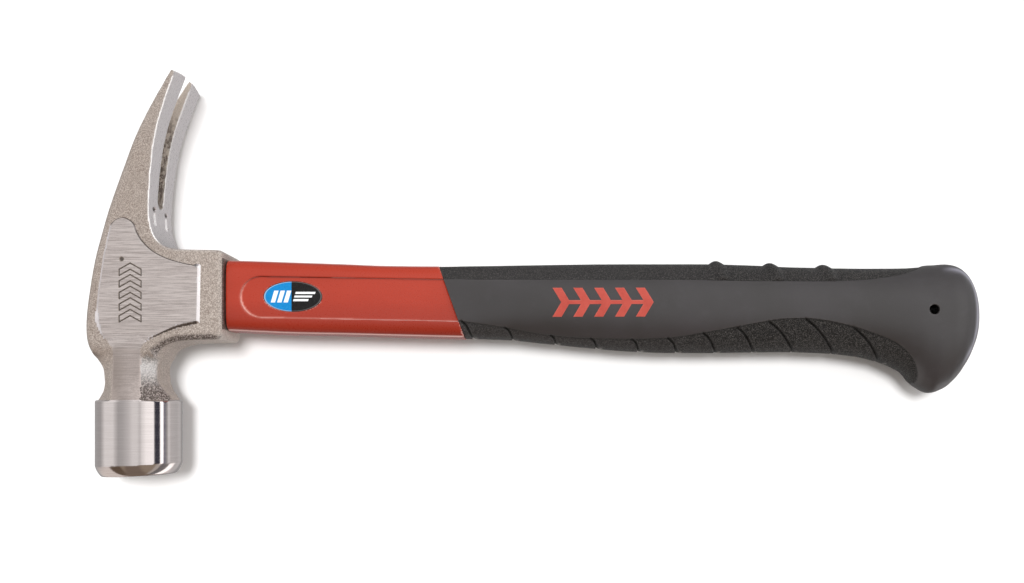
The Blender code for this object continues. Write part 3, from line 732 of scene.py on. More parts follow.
def jacket_field(x, y, z):
    az = np.abs(z)
    d = oval_section(y, z, jacket_top(x), jacket_bottom(x), jacket_half(x), JACKET_POWER)
    d = round_max(d, 36.0 - x, 0.25)
    past = (x - (SLANT_X + SLANT_K * y)) / 1.0625
    d = np.minimum(np.maximum(d, past), np.maximum(d + 2.2, past - 4.0))
    wall = recess_field(x, y)
    cut = round_max(wall - (az - RECESS_Z) * 0.35, RECESS_Z - az, 0.01)
    d = round_max(d, -cut, 0.28)
    pocket = np.sqrt(((x - LABEL_X) / (LABEL_A + 0.22)) ** 2
                     + ((y - LABEL_Y) / (LABEL_B + 0.22)) ** 2) - 1
    pocket = np.maximum(pocket * LABEL_B, 9.0 - az)
    return np.maximum(d, -pocket)


def make_jacket():
    points, faces = contour(jacket_field, (34.9, -18.2, -12.1), (131.0, 15.0, 12.2),
                            (0.5, 0.45, 0.4))
    built = build_mesh("jacket", points, faces, jacket_field)
    edge = np.clip(built[6] * 2.0 - 0.12, 0.0, 1.0)
    x, y, az = built[1][:, 0], built[1][:, 1], np.abs(built[1][:, 2])
    # painted highlight and painted shade along the recess's edge, by the way each part of it faces
    wall = recess_field(x, y)
    gx = (recess_field(x + 0.05, y) - recess_field(x - 0.05, y)) / 0.1
    gy = (recess_field(x, y + 0.05) - recess_field(x, y - 0.05)) / 0.1
    facing = -0.85 * gx - 0.62 * gy
    lip = np.exp(-((wall - 0.05) / 0.24) ** 2) * (az > 9.7) * (az < 10.9) * facing
    lip *= 1 - 0.6 * step_up(62.0, 108.0, x)
    count = np.maximum(np.bincount(built[2], minlength=len(x)), 1)
    nz = np.abs(np.bincount(built[2], weights=built[5][:, 2], minlength=len(x))) / count
    # painted highlight line along the bottom edge, fainter along the top
    rim = np.exp(-((nz - 0.30) / 0.11) ** 2) * np.where(y < 0, 1.0, 0.35) * (x > 36.5)
    # painted shade: the side grows darker towards the bottom
    painted_low_shade = np.clip((-2.5 - y) / 11.5, 0, 1) * step_up(0.12, 0.55, nz)
    return finish_mesh("handle_jacket_shell", built,
                       {"edge": edge * (az < 9.6), "painted_low_shade": painted_low_shade, "rim": rim,
                        "lip_light": np.clip(lip, 0, 1),
                        "lip_dark": np.clip(-lip, 0, 1)})


# ------------------------------------------------------------------ grip

_g = np.array(GRIP)
_gx = np.append(_g[:, 0], BUTT_END[0])
_ga = np.append(((_g[:, 1] - _g[:, 2]) / 2) ** 2, 0.0)
_gb = np.append(_g[:, 3] ** 2, 0.0)
_gm = np.append((_g[:, 1] + _g[:, 2]) / 2, BUTT_END[1])
_gp = np.append(_g[:, 4], 2.1)
grip_a2, grip_b2 = spline(_gx, _ga), spline(_gx, _gb)
grip_mid, grip_power = spline(_gx, _gm), spline(_gx, _gp)
band_top, band_low = column(BAND_TOP, 1), column(BAND_LOW, 1)


def grip_body(x, y, z):
    """The grip's plain outer form."""
    a = np.sqrt(np.maximum(grip_a2(x), 0.01))
    b = np.sqrt(np.maximum(grip_b2(x), 0.01))
    mid = grip_mid(x)
    return oval_section(y, z, mid + a, mid - a, b, grip_power(x))


def band_mask(x, y):
    """1 in the textured bands along the top and the underside, 0 on the smooth sides."""
    upper = step_up(-0.16, 0.16, y - band_top(x))
    lower = step_up(-0.16, 0.16, band_low(x) - y)
    return np.maximum(upper, lower)


def groove_depth(x, y):
    x, y = np.broadcast_arrays(np.asarray(x, float), np.asarray(y, float))
    depth = np.zeros(x.shape)
    for x0, y0, x1, y1 in GROOVES:
        near = (x > x0 - 3) & (x < x1 + 4) & (y < y0 + 1.5)
        if not near.any():
            continue
        px, py = x[near], y[near]
        ex, ey = x1 - x0, y1 - y0
        size = math.hypot(ex, ey)
        t = ((px - x0) * ex + (py - y0) * ey) / size**2
        sway = 0.35 * np.sin(np.clip(t, 0, 1) * 2 * math.pi)
        off = ((px - x0) * ey - (py - y0) * ex) / size + sway
        # the far end drops straight on round the underside
        fade = step_up(-0.06, 0.05, t)
        cut = 0.75 * np.clip(1 - np.abs(off) / 0.60, 0, 1) * fade
        depth[near] = np.maximum(depth[near], cut)
    return depth


def rib_height(x, y):
    x, y = np.broadcast_arrays(np.asarray(x, float), np.asarray(y, float))
    height = np.zeros(x.shape)
    for cx, top in RIBS:
        near = (np.abs(x - cx) < 7) & (y > 3.5)
        if not near.any():
            continue
        px, py = x[near], y[near]
        centre = cx - 0.2 + 0.20 * (top - py)
        u = np.abs(px - centre) / 2.9
        profile = np.where(u < 1, np.cos(np.clip(u, 0, 1) * math.pi / 2) ** 1.3, 0.0)
        rise = step_up(-0.2, 1.6, py - band_top(px))
        height[near] = np.maximum(height[near], 1.25 * profile * rise)
    return height


def grip_field(x, y, z):
    d = grip_body(x, y, z)
    mask = band_mask(x, y)
    depth = 0.40 * mask + groove_depth(x, y)
    d = d + depth - rib_height(x, y)
    start = (SLANT_X + SLANT_K * y - x) / 1.0625
    d = round_max(d, start, 0.35)
    hole = np.hypot(x - HOLE_X, y - HOLE_Y) - HOLE_R
    return round_max(d, -hole, 0.45)


def make_grip():
    points, faces = contour(grip_field, (110.9, -38.6, -32 * 0.53), (321.2, 15.2, 32 * 0.53 + 0.01),
                            (0.53, 0.53, 0.53))
    built = build_mesh("grip", points, faces, grip_field)
    mesh, co, vertex, poly, centre, normal, convex = built
    x, y = co[:, 0], co[:, 1]
    upper = step_up(-0.16, 0.16, y - band_top(x)) * (0.62 + 0.2 * step_up(190, 230, x))
    lower = step_up(-0.16, 0.16, band_low(x) - y) * (0.62 + 0.38 * step_up(150, 235, x))
    texture = np.maximum(upper, lower) * (x < 305)
    # painted shade: the grooves and the hang hole's wall are coloured near black
    groove = np.clip(groove_depth(x, y) / 0.42, 0, 1)
    groove = np.maximum(groove, (np.hypot(x - HOLE_X, y - HOLE_Y) < HOLE_R + 0.12)
                        * (np.abs(co[:, 2]) < 14.3))
    # painted shade along the step down into each textured band
    seam_low = np.exp(-((band_low(x) - y - 0.22) / 0.34) ** 2) * (x < 300)
    seam_top = np.exp(-((y - band_top(x) - 0.18) / 0.30) ** 2) * (x < 300)
    groove = np.maximum(groove, np.maximum(0.75 * seam_low, 0.28 * seam_top))
    spot = np.zeros(len(co))
    for x0, y0, x1, y1 in GROOVES:
        # painted highlight spots where each groove runs out over the mould's parting line
        along = np.hypot((x - x1 + 0.4 * (x1 - x0) / (y0 - y1)) / 0.9, (y - y1 - 0.55) / 0.8)
        spot = np.maximum(spot, 1 - step_up(0.4, 1.0, along))
    edge = np.clip(convex * 2.0 - 0.12, 0.0, 1.0)
    nz = np.abs(np.bincount(vertex, weights=normal[:, 2], minlength=len(co)))
    nz /= np.maximum(np.bincount(vertex, minlength=len(co)), 1)
    # painted rim highlight along the butt's edge
    rim = np.exp(-((nz - 0.61) / 0.09) ** 2) * step_up(303.0, 311.0, x) * step_up(-29.0, -20.0, y)
    return finish_mesh("grip_sleeve", built, {"texture": texture, "groove": groove, "edge": edge,
                                              "groove_end_highlight": spot, "rim": rim})


# ------------------------------------------------------------------ inlays, labels, bond, core


def inlay_outline(x, y):
    """Five chevrons on a thin spine: signed distance."""
    pitch = (INLAY_X[1] - INLAY_X[0] - INLAY_ARM - INLAY_LEAN) / (INLAY_COUNT - 1)
    u, v = np.broadcast_arrays(np.asarray(x, float), np.abs(np.asarray(y, float) - INLAY_Y))
    lean = INLAY_LEAN * (1 - v / (INLAY_H / 2))
    best = np.full(u.shape, 1e9)
    slope = math.hypot(1.0, INLAY_LEAN / (INLAY_H / 2))
    for k in range(INLAY_COUNT):
        start = INLAY_X[0] + k * pitch + lean
        bar = np.abs(u - start - INLAY_ARM / 2) - INLAY_ARM / 2
        best = np.minimum(best, np.maximum(bar / slope, v - INLAY_H / 2))
    spine = np.maximum(v - INLAY_SPINE / 2,
                       np.abs(u - (INLAY_X[0] + INLAY_X[1]) / 2) - (INLAY_X[1] - INLAY_X[0]) / 2 + 3.5)
    return np.minimum(best, spine)


def make_inlay(name, side):
    def field(x, y, z):
        skin = grip_body(x, y, z)
        shell = np.maximum(skin - 0.16, -0.9 - skin)
        return np.maximum(round_max(inlay_outline(x, y), shell, 0.14), -side * z)

    low, high = sorted((side * 8.0, side * 14.6))
    points, faces = contour(field, (157.0, -9.9, low), (196.9, 3.6, high), (0.3, 0.3, 0.35))
    built = build_mesh(name, points, faces, field)
    return finish_mesh(name, built, {"edge": np.clip(built[6] * 2.0 - 0.1, 0, 1)})


def make_label(name, side):
    """A thin domed oval film with a rolled edge."""
    bm = bmesh.new()
    rings = []
    count = 96
    for share, z in ((0.0, 9.90), (0.15, 9.898), (0.35, 9.89), (0.55, 9.875), (0.72, 9.855),
                     (0.86, 9.83), (0.94, 9.81), (0.975, 9.79), (0.993, 9.74), (1.0, 9.66),
                     (1.0, 9.3)):
        if share == 0:
            rings.append([bm.verts.new((LABEL_X, LABEL_Y, side * z))])
            continue
        rings.append([bm.verts.new((LABEL_X + share * LABEL_A * math.cos(t),
                                    LABEL_Y + share * LABEL_B * math.sin(t), side * z))
                      for t in np.linspace(0, 2 * math.pi, count, endpoint=False)])
    for inner, outer in zip(rings, rings[1:]):
        for i in range(count):
            j = (i + 1) % count
            if len(inner) == 1:
                bm.faces.new((inner[0], outer[i], outer[j]))
            else:
                bm.faces.new((inner[i], outer[i], outer[j], inner[j]))
    bm.faces.new(rings[-1][::-1])
    bmesh.ops.recalc_face_normals(bm, faces=bm.faces[:])
    for v in bm.verts:
        v.co = (v.co + Vector(ORIGIN)) * MM
    mesh = bpy.data.meshes.new(name)
    bm.to_mesh(mesh)
    bm.free()
    mesh.shade_smooth()
    mesh.set_sharp_from_angle(angle=math.radians(50))
    obj = bpy.data.objects.new(name, mesh)
    bpy.context.scene.collection.objects.link(obj)
    return obj


def make_bond():
    """The adhesive: a fill round the core at the eye's top and a meniscus at the socket's mouth."""
    def field(x, y, z):
        v = y - core_y(x)
        sway = 0.10 * np.sin(1.7 * v + 0.6) * np.sin(1.1 * z + 0.4)
        fill = rounded_rect(v, z, EYE_A - 0.05, EYE_B - 0.05, EYE_R - 0.05)
        fill = np.maximum(fill, np.maximum(-11.9 + sway + 0.35 * np.exp(-((np.abs(z) - 7.8) ** 2))
                                           - x, x - 36.0))
        lip = rounded_rect(v, z, BOND_LIP[0] + 0.0, BOND_LIP[1] + 0.0, EYE_R)
        lip = round_max(lip, np.abs(x - 36.35) - 0.75, 0.35)
        body = np.minimum(fill, lip)
        core = rounded_rect(v, z, CORE_A, CORE_B, CORE_R)
        return np.maximum(body, -core)

    points, faces = contour(field, (-13.2, -14.6, -10.9), (37.8, 15.2, 10.9), (0.6, 0.55, 0.5))
    built = build_mesh("bond", points, faces, field)
    return finish_mesh("epoxy_fill", built)


def make_core():
    """The head end of the fibreglass rod, sawn off just below the eye's rim."""
    def field(x, y, z):
        v = y - core_y(x)
        body = rounded_rect(v, z, CORE_A, CORE_B, CORE_R)
        ends = np.abs(x - 38.0) - 50.1
        return round_max(body, ends, 0.3)

    points, faces = contour(field, (-13.1, -12.9, -7.9), (90.0, 12.9, 8.0), (1.0, 0.55, 0.5))
    built = build_mesh("core", points, faces, field)
    return finish_mesh("core_rod_end", built)


# ------------------------------------------------------------------ materials


class Shader:
    """A node material with a Principled shader, and short calls to add nodes to it."""

    def __init__(self, name):
        self.material = bpy.data.materials.new(name)
        self.material.use_nodes = True
        self.tree = self.material.node_tree
        self.tree.nodes.clear()
        self.out = self.tree.nodes.new("ShaderNodeOutputMaterial")
        self.bsdf = self.tree.nodes.new("ShaderNodeBsdfPrincipled")
        self.link(self.bsdf.outputs["BSDF"], self.out.inputs["Surface"])

    def link(self, a, b):
        self.tree.links.new(a, b)

    def set(self, node, name, value):
        socket = node.inputs[name]
        if isinstance(value, bpy.types.NodeSocket):
            self.link(value, socket)
        else:
            socket.default_value = value

    def node(self, kind, ins=None, **props):
        made = self.tree.nodes.new(kind)
        for key, value in props.items():
            setattr(made, key, value)
        for key, value in (ins or {}).items():
            self.set(made, key, value)
        return made

    def position(self):
        return self.node("ShaderNodeTexCoord").outputs["Object"]

    def scaled(self, vector, scale, location=(0, 0, 0), rotation=(0, 0, 0)):
        return self.node("ShaderNodeMapping", {"Vector": vector, "Scale": scale,
                                               "Location": location,
                                               "Rotation": rotation}).outputs[0]

    def noise(self, vector, scale, detail=4.0, rough=0.55, lacunarity=2.0, distortion=0.0):
        return self.node("ShaderNodeTexNoise", {
            "Vector": vector, "Scale": scale, "Detail": detail, "Roughness": rough,
            "Lacunarity": lacunarity, "Distortion": distortion}).outputs["Fac"]

    def voronoi(self, vector, scale, feature="F1", out="Distance", smooth=None):
        ins = {"Vector": vector, "Scale": scale}
        node = self.node("ShaderNodeTexVoronoi", ins, feature=feature)
        if smooth is not None:
            node.inputs["Smoothness"].default_value = smooth
        return node.outputs[out]

    def math(self, operation, a, b=None, c=None, clamp=False):
        node = self.node("ShaderNodeMath", operation=operation, use_clamp=clamp)
        for k, value in enumerate((a, b, c)):
            if value is None:
                continue
            if isinstance(value, bpy.types.NodeSocket):
                self.link(value, node.inputs[k])
            else:
                node.inputs[k].default_value = value
        return node.outputs[0]

    def ramp(self, value, low, high, out_low=0.0, out_high=1.0, smooth=True):
        return self.node("ShaderNodeMapRange", {
            "Value": value, "From Min": low, "From Max": high, "To Min": out_low,
            "To Max": out_high}, interpolation_type="SMOOTHSTEP" if smooth else "LINEAR",
            clamp=True).outputs["Result"]

    def mix(self, fac, a, b):
        node = self.node("ShaderNodeMix", data_type="RGBA")
        for k, value in ((0, fac), (6, a), (7, b)):
            if isinstance(value, bpy.types.NodeSocket):
                self.link(value, node.inputs[k])
            else:
                node.inputs[k].default_value = value if k == 0 else (*value, 1.0)
        return node.outputs[2]

    def blend(self, fac, a, b):
        """Between two numbers."""
        node = self.node("ShaderNodeMix", data_type="FLOAT")
        for k, value in ((0, fac), (2, a), (3, b)):
            if isinstance(value, bpy.types.NodeSocket):
                self.link(value, node.inputs[k])
            else:
                node.inputs[k].default_value = value
        return node.outputs[0]

    def attribute(self, name, out="Fac"):
        return self.node("ShaderNodeAttribute", attribute_name=name).outputs[out]

    def channels(self, colour):
        return self.node("ShaderNodeSeparateColor", {"Color": colour}).outputs

    def axes(self, vector):
        return self.node("ShaderNodeSeparateXYZ", {"Vector": vector}).outputs

    def bump(self, height, distance, strength=1.0, normal=None):
        ins = {"Height": height, "Distance": distance, "Strength": strength}
        if normal is not None:
            ins["Normal"] = normal
        return self.node("ShaderNodeBump", ins).outputs["Normal"]


def steel_material():
    """Forged steel: sand-blasted, with ground, brushed and turned areas told apart by the mesh."""
    s = Shader("forged_steel_look")
    p = s.position()
    finish = s.channels(s.attribute("finish", "Color"))
    brushed, polished, ground = finish[0], finish[1], finish[2]
    edge = s.attribute("edge")
    slot = s.attribute("slot_wall")
    dark = s.attribute("dark")
    socket = s.attribute("socket")
    shine = s.ramp(s.attribute("shine"), 0.44, 0.92)
    glint, painted_hotspot = s.attribute("glint"), s.attribute("painted_hotspot")
    q = s.scaled(p, (1000, 1000, 1000))
    # sand-blasted skin: fine grit, with slow colour drift
    grit = s.noise(q, 2.7, 2.0, 0.6)
    grit_fine = s.noise(q, 6.0, 2.0, 0.5)
    drift = s.noise(q, 0.055, 3.0, 0.5)
    cloud = s.noise(q, 0.35, 3.0, 0.6)
    speck = s.ramp(s.math("MULTIPLY_ADD", cloud, 0.12, grit), 0.42, 0.74)
    blast_colour = s.mix(speck, (0.345, 0.276, 0.236), (0.70, 0.61, 0.547))
    blast_colour = s.mix(s.ramp(drift, 0.35, 0.7), blast_colour,
                         s.mix(speck, (0.38, 0.312, 0.272), (0.735, 0.653, 0.594)))
    x_mm = s.math("MULTIPLY_ADD", s.axes(p)[0], 1000.0, -ORIGIN[0])
    blast_colour = s.mix(s.ramp(x_mm, 18.0, 28.0, 0.0, 0.34), blast_colour,
                         s.mix(speck, (0.52, 0.43, 0.375), (0.95, 0.865, 0.80)))
    # painted glints: where the skin would catch the lamps, its grains are painted light and dark one
    # by one
    grain = s.noise(q, 1.75, 2.0, 0.55)
    lit_glint_grain = s.mix(s.ramp(grain, 0.40, 0.60), (0.085, 0.068, 0.062), (1.0, 0.97, 0.95))
    dim_glint_grain = s.mix(s.ramp(grain, 0.44, 0.68), (0.085, 0.067, 0.060), (0.72, 0.64, 0.61))
    blast_colour = s.mix(s.math("MULTIPLY", glint, 0.85), blast_colour,
                         s.mix(painted_hotspot, dim_glint_grain, lit_glint_grain))
    # painted highlight: the hot spot on the neck's facet, near white
    blast_colour = s.mix(s.math("MULTIPLY", painted_hotspot, 0.74), blast_colour, (1.0, 0.98, 0.97))
    # brushed lines run along X on the panel and across the neck
    lines = s.noise(s.scaled(p, (70, 2600, 2600)), 1.0, 4.0, 0.65)
    lines_fine = s.noise(s.scaled(p, (160, 6500, 6500)), 1.0, 2.0, 0.6)
    brush_value = s.blend(0.45, lines, lines_fine)
    brush_colour = s.mix(s.ramp(brush_value, 0.40, 0.60), (0.52, 0.45, 0.425),
                         (0.85, 0.765, 0.735))
    brush_colour = s.mix(s.ramp(grit, 0.45, 0.75, 0.0, 0.35), brush_colour, (0.95, 0.88, 0.86))
    y_mm = s.math("MULTIPLY_ADD", s.axes(p)[1], 1000.0, -ORIGIN[1])
    neck_tone = s.mix(s.ramp(brush_value, 0.36, 0.64), (0.47, 0.40, 0.37), (0.66, 0.575, 0.545))
    neck_tone = s.mix(s.ramp(grit, 0.40, 0.75, 0.0, 0.5), neck_tone, (0.36, 0.30, 0.27))
    neck_tone = s.mix(s.ramp(x_mm, -5.0, 2.0, 0.55, 0.0), neck_tone, (0.33, 0.27, 0.235))
    brush_colour = s.mix(s.ramp(y_mm, -24.5, -17.5, 0.9, 0.0), brush_colour, neck_tone)
    # turned poll: rings round Y
    rings = s.noise(s.scaled(p, (60, 4200, 60)), 1.0, 3.0, 0.6)
    turned_colour = s.mix(s.ramp(rings, 0.3, 0.7), (0.645, 0.585, 0.57), (0.715, 0.655, 0.64))
    # ground claw faces: smoother, slightly cool
    grind = s.noise(s.scaled(p, (2600, 260, 2600), rotation=(0.15, 0, 0.1)), 1.0, 3.0, 0.6)
    ground_colour = s.mix(s.ramp(grind, 0.3, 0.7), (0.79, 0.735, 0.74), (0.92, 0.865, 0.87))
    colour = s.mix(brushed, blast_colour, brush_colour)
    colour = s.mix(ground, colour, ground_colour)
    colour = s.mix(polished, colour, turned_colour)
    # convex edges lighter: edge wear with painted highlight
    colour = s.mix(s.math("MULTIPLY", edge, 0.7), colour, (0.90, 0.86, 0.83))
    # inside the slot: pale towards the tip, rough and dark lower down
    tear = s.noise(s.scaled(p, (700, 420, 1500)), 1.0, 4.0, 0.7)
    low_wall = s.math("MULTIPLY", s.ramp(y_mm, 30.0, 40.0), s.ramp(y_mm, 62.0, 74.0, 1.0, 0.0))
    torn = s.math("MULTIPLY", s.ramp(tear, 0.42, 0.56, 1.0, 0.12), low_wall)
    colour = s.mix(s.math("MULTIPLY", slot, 0.75), colour, (0.74, 0.66, 0.58))
    colour = s.mix(s.math("MULTIPLY", s.math("MULTIPLY", torn, slot), 0.85), colour,
                   (0.12, 0.09, 0.075))
    # painted shade on the collar's end face round the handle
    colour = s.mix(s.math("MULTIPLY", socket, s.ramp(grit, 0.3, 0.75, 1.0, 0.55)), colour,
                   (0.10, 0.085, 0.075))
    # painted highlight lines, made near white
    colour = s.mix(shine, colour, (1.0, 0.985, 0.975))
    # darker punched marks, and painted shade on the panel's bevel
    colour = s.mix(s.math("MULTIPLY", dark, 0.9), colour, (0.10, 0.085, 0.075))
    colour = s.mix(s.math("MULTIPLY", s.attribute("shade"), 0.80), colour, (0.19, 0.15, 0.125))
    s.link(colour, s.bsdf.inputs["Base Color"])
    rough = s.blend(brushed, s.ramp(grit_fine, 0.3, 0.7, 0.30, 0.44),
                    s.ramp(lines, 0.3, 0.7, 0.30, 0.42))
    rough = s.blend(ground, rough, s.ramp(grind, 0.3, 0.7, 0.26, 0.36))
    rough = s.blend(polished, rough, s.ramp(rings, 0.3, 0.7, 0.07, 0.12))
    rough = s.blend(s.math("MULTIPLY", edge, 0.7), rough, 0.26)
    s.link(rough, s.bsdf.inputs["Roughness"])
    rest = s.math("SUBTRACT", 1.0, s.math("ADD", s.math("ADD", brushed, polished), ground),
                  clamp=True)
    matte = s.math("MULTIPLY_ADD", brushed, 0.10, s.math("MULTIPLY", rest, 0.30))
    matte = s.math("MULTIPLY_ADD", s.attribute("pale_wall"), 0.60, matte)
    # the painted highlight lines are made less metallic, so they stay white
    s.link(s.math("SUBTRACT", s.math("MULTIPLY_ADD", shine, -0.85, 1.0), matte, clamp=True),
           s.bsdf.inputs["Metallic"])
    height = s.math("MULTIPLY", s.math("MULTIPLY_ADD", grit_fine, 0.35, grit), rest)
    height = s.math("MULTIPLY_ADD", s.math("MULTIPLY", brush_value, brushed), 0.16, height)
    height = s.math("MULTIPLY_ADD", s.math("MULTIPLY", grind, ground), 0.04, height)
    height = s.math("MULTIPLY_ADD", s.math("MULTIPLY", rings, polished), 0.004, height)
    s.link(s.bump(height, 0.00030, 0.9), s.bsdf.inputs["Normal"])
    return s.material


def red_material():
    s = Shader("red_polymer_look")
    p = s.position()
    flow = s.noise(s.scaled(p, (260, 1000, 1000)), 0.06, 3.0, 0.5)
    fine = s.noise(s.scaled(p, (1000, 1000, 1000)), 2.4, 3.0, 0.6)
    dust = s.noise(s.scaled(p, (1000, 1000, 1000)), 0.8, 5.0, 0.7)
    edge = s.attribute("edge")
    colour = s.mix(s.ramp(flow, 0.3, 0.7), (0.345, 0.028, 0.0105), (0.385, 0.034, 0.014))
    colour = s.mix(s.ramp(dust, 0.62, 0.82, 0.0, 0.25), colour, (0.60, 0.11, 0.075))
    colour = s.mix(s.math("MULTIPLY", edge, 0.30), colour, (0.80, 0.26, 0.20))
    # painted highlight and painted shade along the recess's edge
    colour = s.mix(s.math("MULTIPLY", s.attribute("lip_light"), 0.75), colour,
                   (0.86, 0.42, 0.35))
    colour = s.mix(s.math("MULTIPLY", s.attribute("lip_dark"), 0.95), colour,
                   (0.07, 0.006, 0.004))
    # painted shade, darker towards the bottom of the side
    lower_shade = s.math("MULTIPLY", s.attribute("painted_low_shade"), s.ramp(flow, 0.2, 0.8, 0.58, 0.72))
    colour = s.mix(lower_shade, colour, (0.185, 0.0135, 0.006))
    # painted highlight line along the bottom and top edges
    colour = s.mix(s.math("MULTIPLY", s.attribute("rim"), 0.8), colour, (0.92, 0.66, 0.62))
    s.link(colour, s.bsdf.inputs["Base Color"])
    s.link(s.ramp(fine, 0.3, 0.7, 0.26, 0.36), s.bsdf.inputs["Roughness"])
    s.bsdf.inputs["IOR"].default_value = 1.50
    s.bsdf.inputs["Coat Weight"].default_value = 0.12
    s.bsdf.inputs["Coat Roughness"].default_value = 0.18
    orange = s.math("MULTIPLY_ADD", s.noise(s.scaled(p, (1000, 1000, 1000)), 0.55, 2.0, 0.5), 0.8,
                    s.math("MULTIPLY", fine, 0.25))
    s.link(s.bump(orange, 0.00006, 0.6), s.bsdf.inputs["Normal"])
    return s.material


def rubber_material():
    s = Shader("black_rubber_look")
    p = s.position()
    texture = s.attribute("texture")
    groove = s.attribute("groove")
    edge = s.attribute("edge")
    q = s.scaled(p, (1000, 1000, 1000))
    cells = s.voronoi(q, 1.9, "SMOOTH_F1", smooth=0.30)
    pebble = s.math("SUBTRACT", 1.0, s.ramp(cells, 0.10, 0.62))
    crumb = s.noise(q, 2.2, 3.0, 0.7)
    leather = s.math("MULTIPLY_ADD", crumb, 0.8, s.math("MULTIPLY", pebble, 0.8))
    matte = s.noise(q, 3.8, 2.0, 0.6)
    drift = s.noise(q, 0.03, 3.0, 0.5)
    bloom = s.noise(q, 0.16, 4.0, 0.6)
    side = s.mix(s.ramp(drift, 0.3, 0.7), (0.022, 0.019, 0.019), (0.030, 0.026, 0.028))
    side = s.mix(s.ramp(bloom, 0.5, 0.8, 0.0, 0.4), side, (0.038, 0.034, 0.037))
    tread = s.mix(s.ramp(leather, 0.52, 1.08), (0.002, 0.0018, 0.0016), (0.041, 0.036, 0.033))
    sand = s.noise(q, 3.1, 2.0, 0.5)
    tread = s.mix(s.ramp(sand, 0.57, 0.68, 0.0, 0.62), tread, (0.17, 0.157, 0.146))
    colour = s.mix(texture, side, tread)
    # painted shade in the grooves, the hang hole and along the bands' steps
    colour = s.mix(s.math("MULTIPLY", groove, 0.96), colour, (0.005, 0.0045, 0.004))
    colour = s.mix(s.math("MULTIPLY", edge, 0.22), colour, (0.16, 0.15, 0.145))
    # painted highlight spots at the grooves' lower ends
    colour = s.mix(s.math("MULTIPLY", s.attribute("groove_end_highlight"), 0.7), colour, (0.36, 0.34, 0.32))
    # painted rim highlight at the butt, slightly blue
    colour = s.mix(s.math("MULTIPLY", s.attribute("rim"), 0.55), colour, (0.40, 0.39, 0.47))
    s.link(colour, s.bsdf.inputs["Base Color"])
    rough = s.blend(texture, s.ramp(matte, 0.3, 0.7, 0.40, 0.50),
                    s.ramp(leather, 0.3, 1.1, 0.70, 0.42))
    s.link(rough, s.bsdf.inputs["Roughness"])
    s.link(s.blend(texture, 0.92, 0.60), s.bsdf.inputs["Specular IOR Level"])
    height = s.blend(texture, s.math("MULTIPLY", matte, 0.10), leather)
    s.link(s.bump(height, 0.00030, 1.0), s.bsdf.inputs["Normal"])
    return s.material


def inlay_material():
    s = Shader("red_inlay_look")
    p = s.scaled(s.position(), (1000, 1000, 1000))
    grain = s.noise(p, 3.0, 3.0, 0.6)
    drift = s.noise(p, 0.2, 3.0, 0.6)
    edge = s.attribute("edge")
    colour = s.mix(s.ramp(drift, 0.3, 0.7), (0.41, 0.056, 0.040), (0.47, 0.072, 0.052))
    colour = s.mix(s.math("MULTIPLY", edge, 0.25), colour, (0.78, 0.24, 0.19))
    s.link(colour, s.bsdf.inputs["Base Color"])
    s.link(s.ramp(grain, 0.3, 0.7, 0.48, 0.62), s.bsdf.inputs["Roughness"])
    s.link(s.bump(grain, 0.00006, 0.7), s.bsdf.inputs["Normal"])
    return s.material


